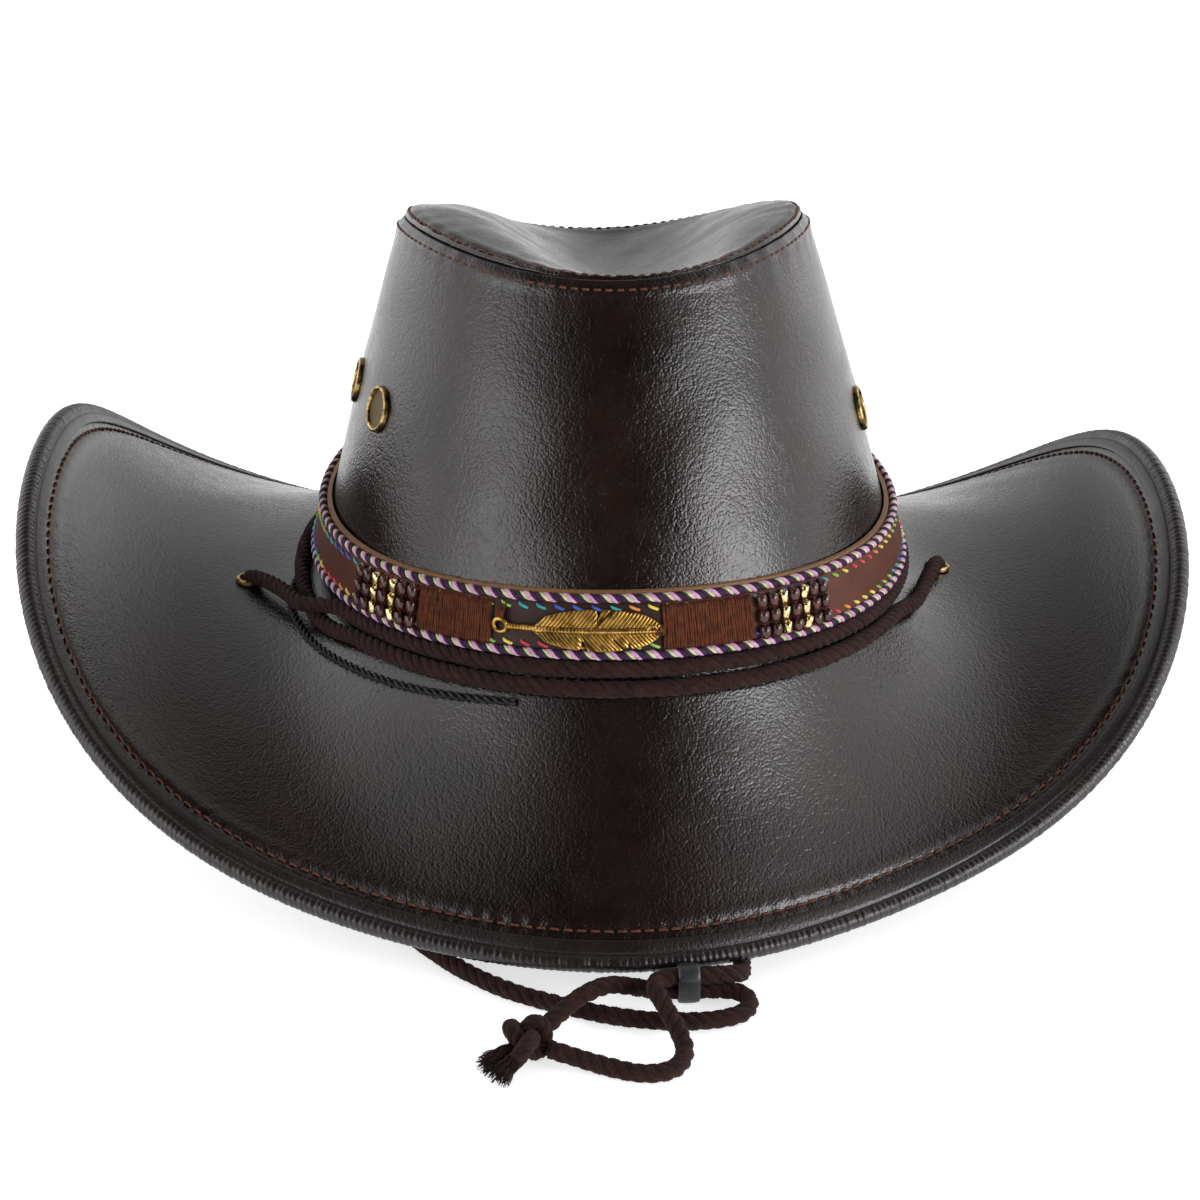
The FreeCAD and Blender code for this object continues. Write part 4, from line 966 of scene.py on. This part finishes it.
left_cord = piece("cord_end_left", cord_blocks(left_line), [COTTON], "root",
                  ["chin_cord_left"])
right_cord = piece("cord_end_right", cord_blocks(right_line), [COTTON], "root",
                   ["chin_cord_right"])

# Overhand knot of both ends, and their frayed tails.
KNOT = np.array([-0.0325, -0.1655, 0.0043])
turn = np.linspace(0, 2 * np.pi, 160, endpoint=False)
lean = math.radians(-18.0)
loops = np.stack([np.sin(turn) + 1.9 * np.sin(2 * turn), np.cos(turn) - 1.9 * np.cos(2 * turn),
                  -1.5 * np.sin(3 * turn)], 1)
loops = loops * [0.00125, 0.00165, 0.00135]
loops = np.stack([loops[:, 0] * math.cos(lean) - loops[:, 1] * math.sin(lean),
                  loops[:, 0] * math.sin(lean) + loops[:, 1] * math.cos(lean), loops[:, 2]], axis=1)
knot_path = np.concatenate([loops, loops[:1]]) * [1.2, 1.35, 1.1] + KNOT
knot_path[:, 2] = np.maximum(knot_path[:, 2], 0.0022)
knot_path = evenly(knot_path, 0.0006)
knot = piece("overhand_knot", cord_blocks(knot_path, 0.0021, 0.0085), [COTTON], "root",
             ["cord_knot"])


def frayed(first, last, count, width, seed):
    """A tail of loose fibres that opens out from the knot."""
    dice = np.random.default_rng(seed)
    first, last = np.array(first), np.array(last)
    way = unit(last - first)
    side = unit(np.cross(way, [0, 0, 1.0]))
    up = np.cross(side, way)
    blocks = []
    for _ in range(count):
        turned, out = dice.uniform(0, 2 * np.pi), math.sqrt(dice.uniform(0, 1))
        direction = side * math.cos(turned) + up * math.sin(turned)
        share = np.linspace(0, 1, 12)[:, None]
        length = np.linalg.norm(last - first) * dice.uniform(0.72, 1.15)
        curl = dice.uniform(-1, 1, (2,)) * 0.0007
        path = (first + way * share * length + direction * out * (0.0013 + width * share ** 1.6)
                + side * curl[0] * np.sin(share * dice.uniform(3, 7))
                + up * curl[1] * np.sin(share * dice.uniform(3, 7)))
        path[:, 2] = np.maximum(path[:, 2], 0.0003)
        net = strand(path, np.broadcast_to(direction, path.shape), 0.00017 * (1 - 0.5 * share), 5)
        blocks.append(block(net, placed=True))
    return blocks


fibres = frayed((-0.0343, -0.1690, 0.0034), (-0.0385, -0.1765, 0.0026), 260, 0.0013, 5)
fibres += frayed((-0.0355, -0.1675, 0.0036), (-0.0420, -0.1725, 0.0027), 240, 0.0013, 6)
tails = piece("frayed_tails", fibres, [COTTON], "root", ["cord_tails"])

# ---- slider

turn = np.linspace(0, 2 * np.pi, 96, endpoint=False)
mid = 0.5 * (LOWER_STRAND + UPPER_STRAND)
half_spread = 0.5 * (UPPER_STRAND - LOWER_STRAND)
stadium = np.stack([np.cos(turn), np.sin(turn)], axis=1)
rise = np.where(np.sin(turn) >= 0, half_spread, -half_spread)
SLIDER_X, SLIDER_Y = 0.0075, -0.1469
RIM = smooth_section([
    (-2.6, 2.15), (-2.75, 2.6), (-2.35, 3.08), (0.0, 3.22),
    (2.35, 3.08), (2.75, 2.6), (2.6, 2.15), (0.0, 2.15)], 2) * MM
ring_points = np.array([
    np.stack([np.full_like(turn, SLIDER_X + x), SLIDER_Y + r * stadium[:, 0],
              mid + rise + r * stadium[:, 1]], axis=1)
    for x, r in RIM])
ring_points[..., 2] = np.maximum(ring_points[..., 2], 0.00005)
piece("slider", [block(ring_points, wrap_rows=True, placed=True)], [PLASTIC], "slider",
      ["cord_slider"])


def measured(line):
    return float(np.linalg.norm(np.diff(line, axis=0), axis=1).sum())


round(measured(left_line), 3)
round(measured(right_line), 3)

# ---- floor and light

floor_mesh = bpy.data.meshes.new("floor")
floor_corners = [(-4, -4, -0.0001), (4, -4, -0.0001), (4, 4, -0.0001), (-4, 4, -0.0001)]
floor_mesh.from_pydata(floor_corners, [], [(0, 1, 2, 3)])
floor = bpy.data.objects.new("floor", floor_mesh)
scene.collection.objects.link(floor)
paper = Finish("floor_white", 0.9, Specular_IOR_Level=0.2)
paper.colours(paper.noise(3.0), [(0.3, (0.88, 0.88, 0.88)), (0.7, (0.90, 0.90, 0.90))])
paper.shader.inputs["Emission Color"].default_value = (1.0, 1.0, 1.0, 1.0)
paper.shader.inputs["Emission Strength"].default_value = 0.62
floor_mesh.materials.append(paper.material)


def softbox(name, azimuth, elevation, distance, width, height, power):
    """A soft light that stands at an azimuth from the front and looks at the crown."""
    light = bpy.data.lights.new(name, "AREA")
    light.shape = "RECTANGLE"
    light.size, light.size_y = width, height
    light.energy = power
    lamp = bpy.data.objects.new(name, light)
    scene.collection.objects.link(lamp)
    a, e = math.radians(azimuth), math.radians(elevation)
    target = Vector((0, 0, 0.08))
    away = Vector((math.sin(a) * math.cos(e), -math.cos(a) * math.cos(e), math.sin(e)))
    lamp.location = target + away * distance
    lamp.rotation_euler = (-away).to_track_quat("-Z", "Y").to_euler()
    return lamp


softbox("softbox_left", -54, 10, 1.6, 0.95, 0.80, 6.0)
softbox("softbox_right", 50, 9, 1.6, 0.95, 0.74, 18.0)

world = bpy.data.worlds.new("studio")
scene.world = world
world.use_nodes = True
tree = world.node_tree
tree.nodes.clear()
way = tree.nodes.new("ShaderNodeTexCoord")
parts = tree.nodes.new("ShaderNodeSeparateXYZ")
tree.links.new(way.outputs["Generated"], parts.inputs["Vector"])


def world_ramp(value, from_min, from_max, to_min, to_max):
    node = tree.nodes.new("ShaderNodeMapRange")
    tree.links.new(value, node.inputs["Value"])
    limits = {"From Min": from_min, "From Max": from_max, "To Min": to_min, "To Max": to_max}
    for socket, number in limits.items():
        node.inputs[socket].default_value = number
    return node.outputs["Result"]


def world_math(operation, one, two=0.0):
    node = tree.nodes.new("ShaderNodeMath")
    node.operation = operation
    tree.links.new(one, node.inputs[0])
    if isinstance(two, float):
        node.inputs[1].default_value = two
    else:
        tree.links.new(two, node.inputs[1])
    return node.outputs["Value"]


aside = world_math("ABSOLUTE", parts.outputs["X"])
behind = world_ramp(parts.outputs["Y"], 0.00, 0.50, 0.01, 0.95)
flank = world_math("MULTIPLY", world_ramp(aside, 0.30, 0.70, 0.0, 1.9),
                   world_ramp(parts.outputs["Y"], -0.90, -0.42, 0.0, 1.0))
level = world_math("MULTIPLY", world_math("ADD", behind, flank),
                   world_ramp(parts.outputs["Z"], 0.60, 0.98, 1.0, 0.70))
studio = tree.nodes.new("ShaderNodeBackground")
tree.links.new(level, studio.inputs["Strength"])
white = tree.nodes.new("ShaderNodeBackground")
white.inputs["Strength"].default_value = 1.1
seen = tree.nodes.new("ShaderNodeLightPath")
either = tree.nodes.new("ShaderNodeMixShader")
tree.links.new(seen.outputs["Is Camera Ray"], either.inputs["Fac"])
tree.links.new(studio.outputs["Background"], either.inputs[1])
tree.links.new(white.outputs["Background"], either.inputs[2])
output = tree.nodes.new("ShaderNodeOutputWorld")
tree.links.new(either.outputs["Shader"], output.inputs["Surface"])
scene.view_settings.view_transform = "Standard"
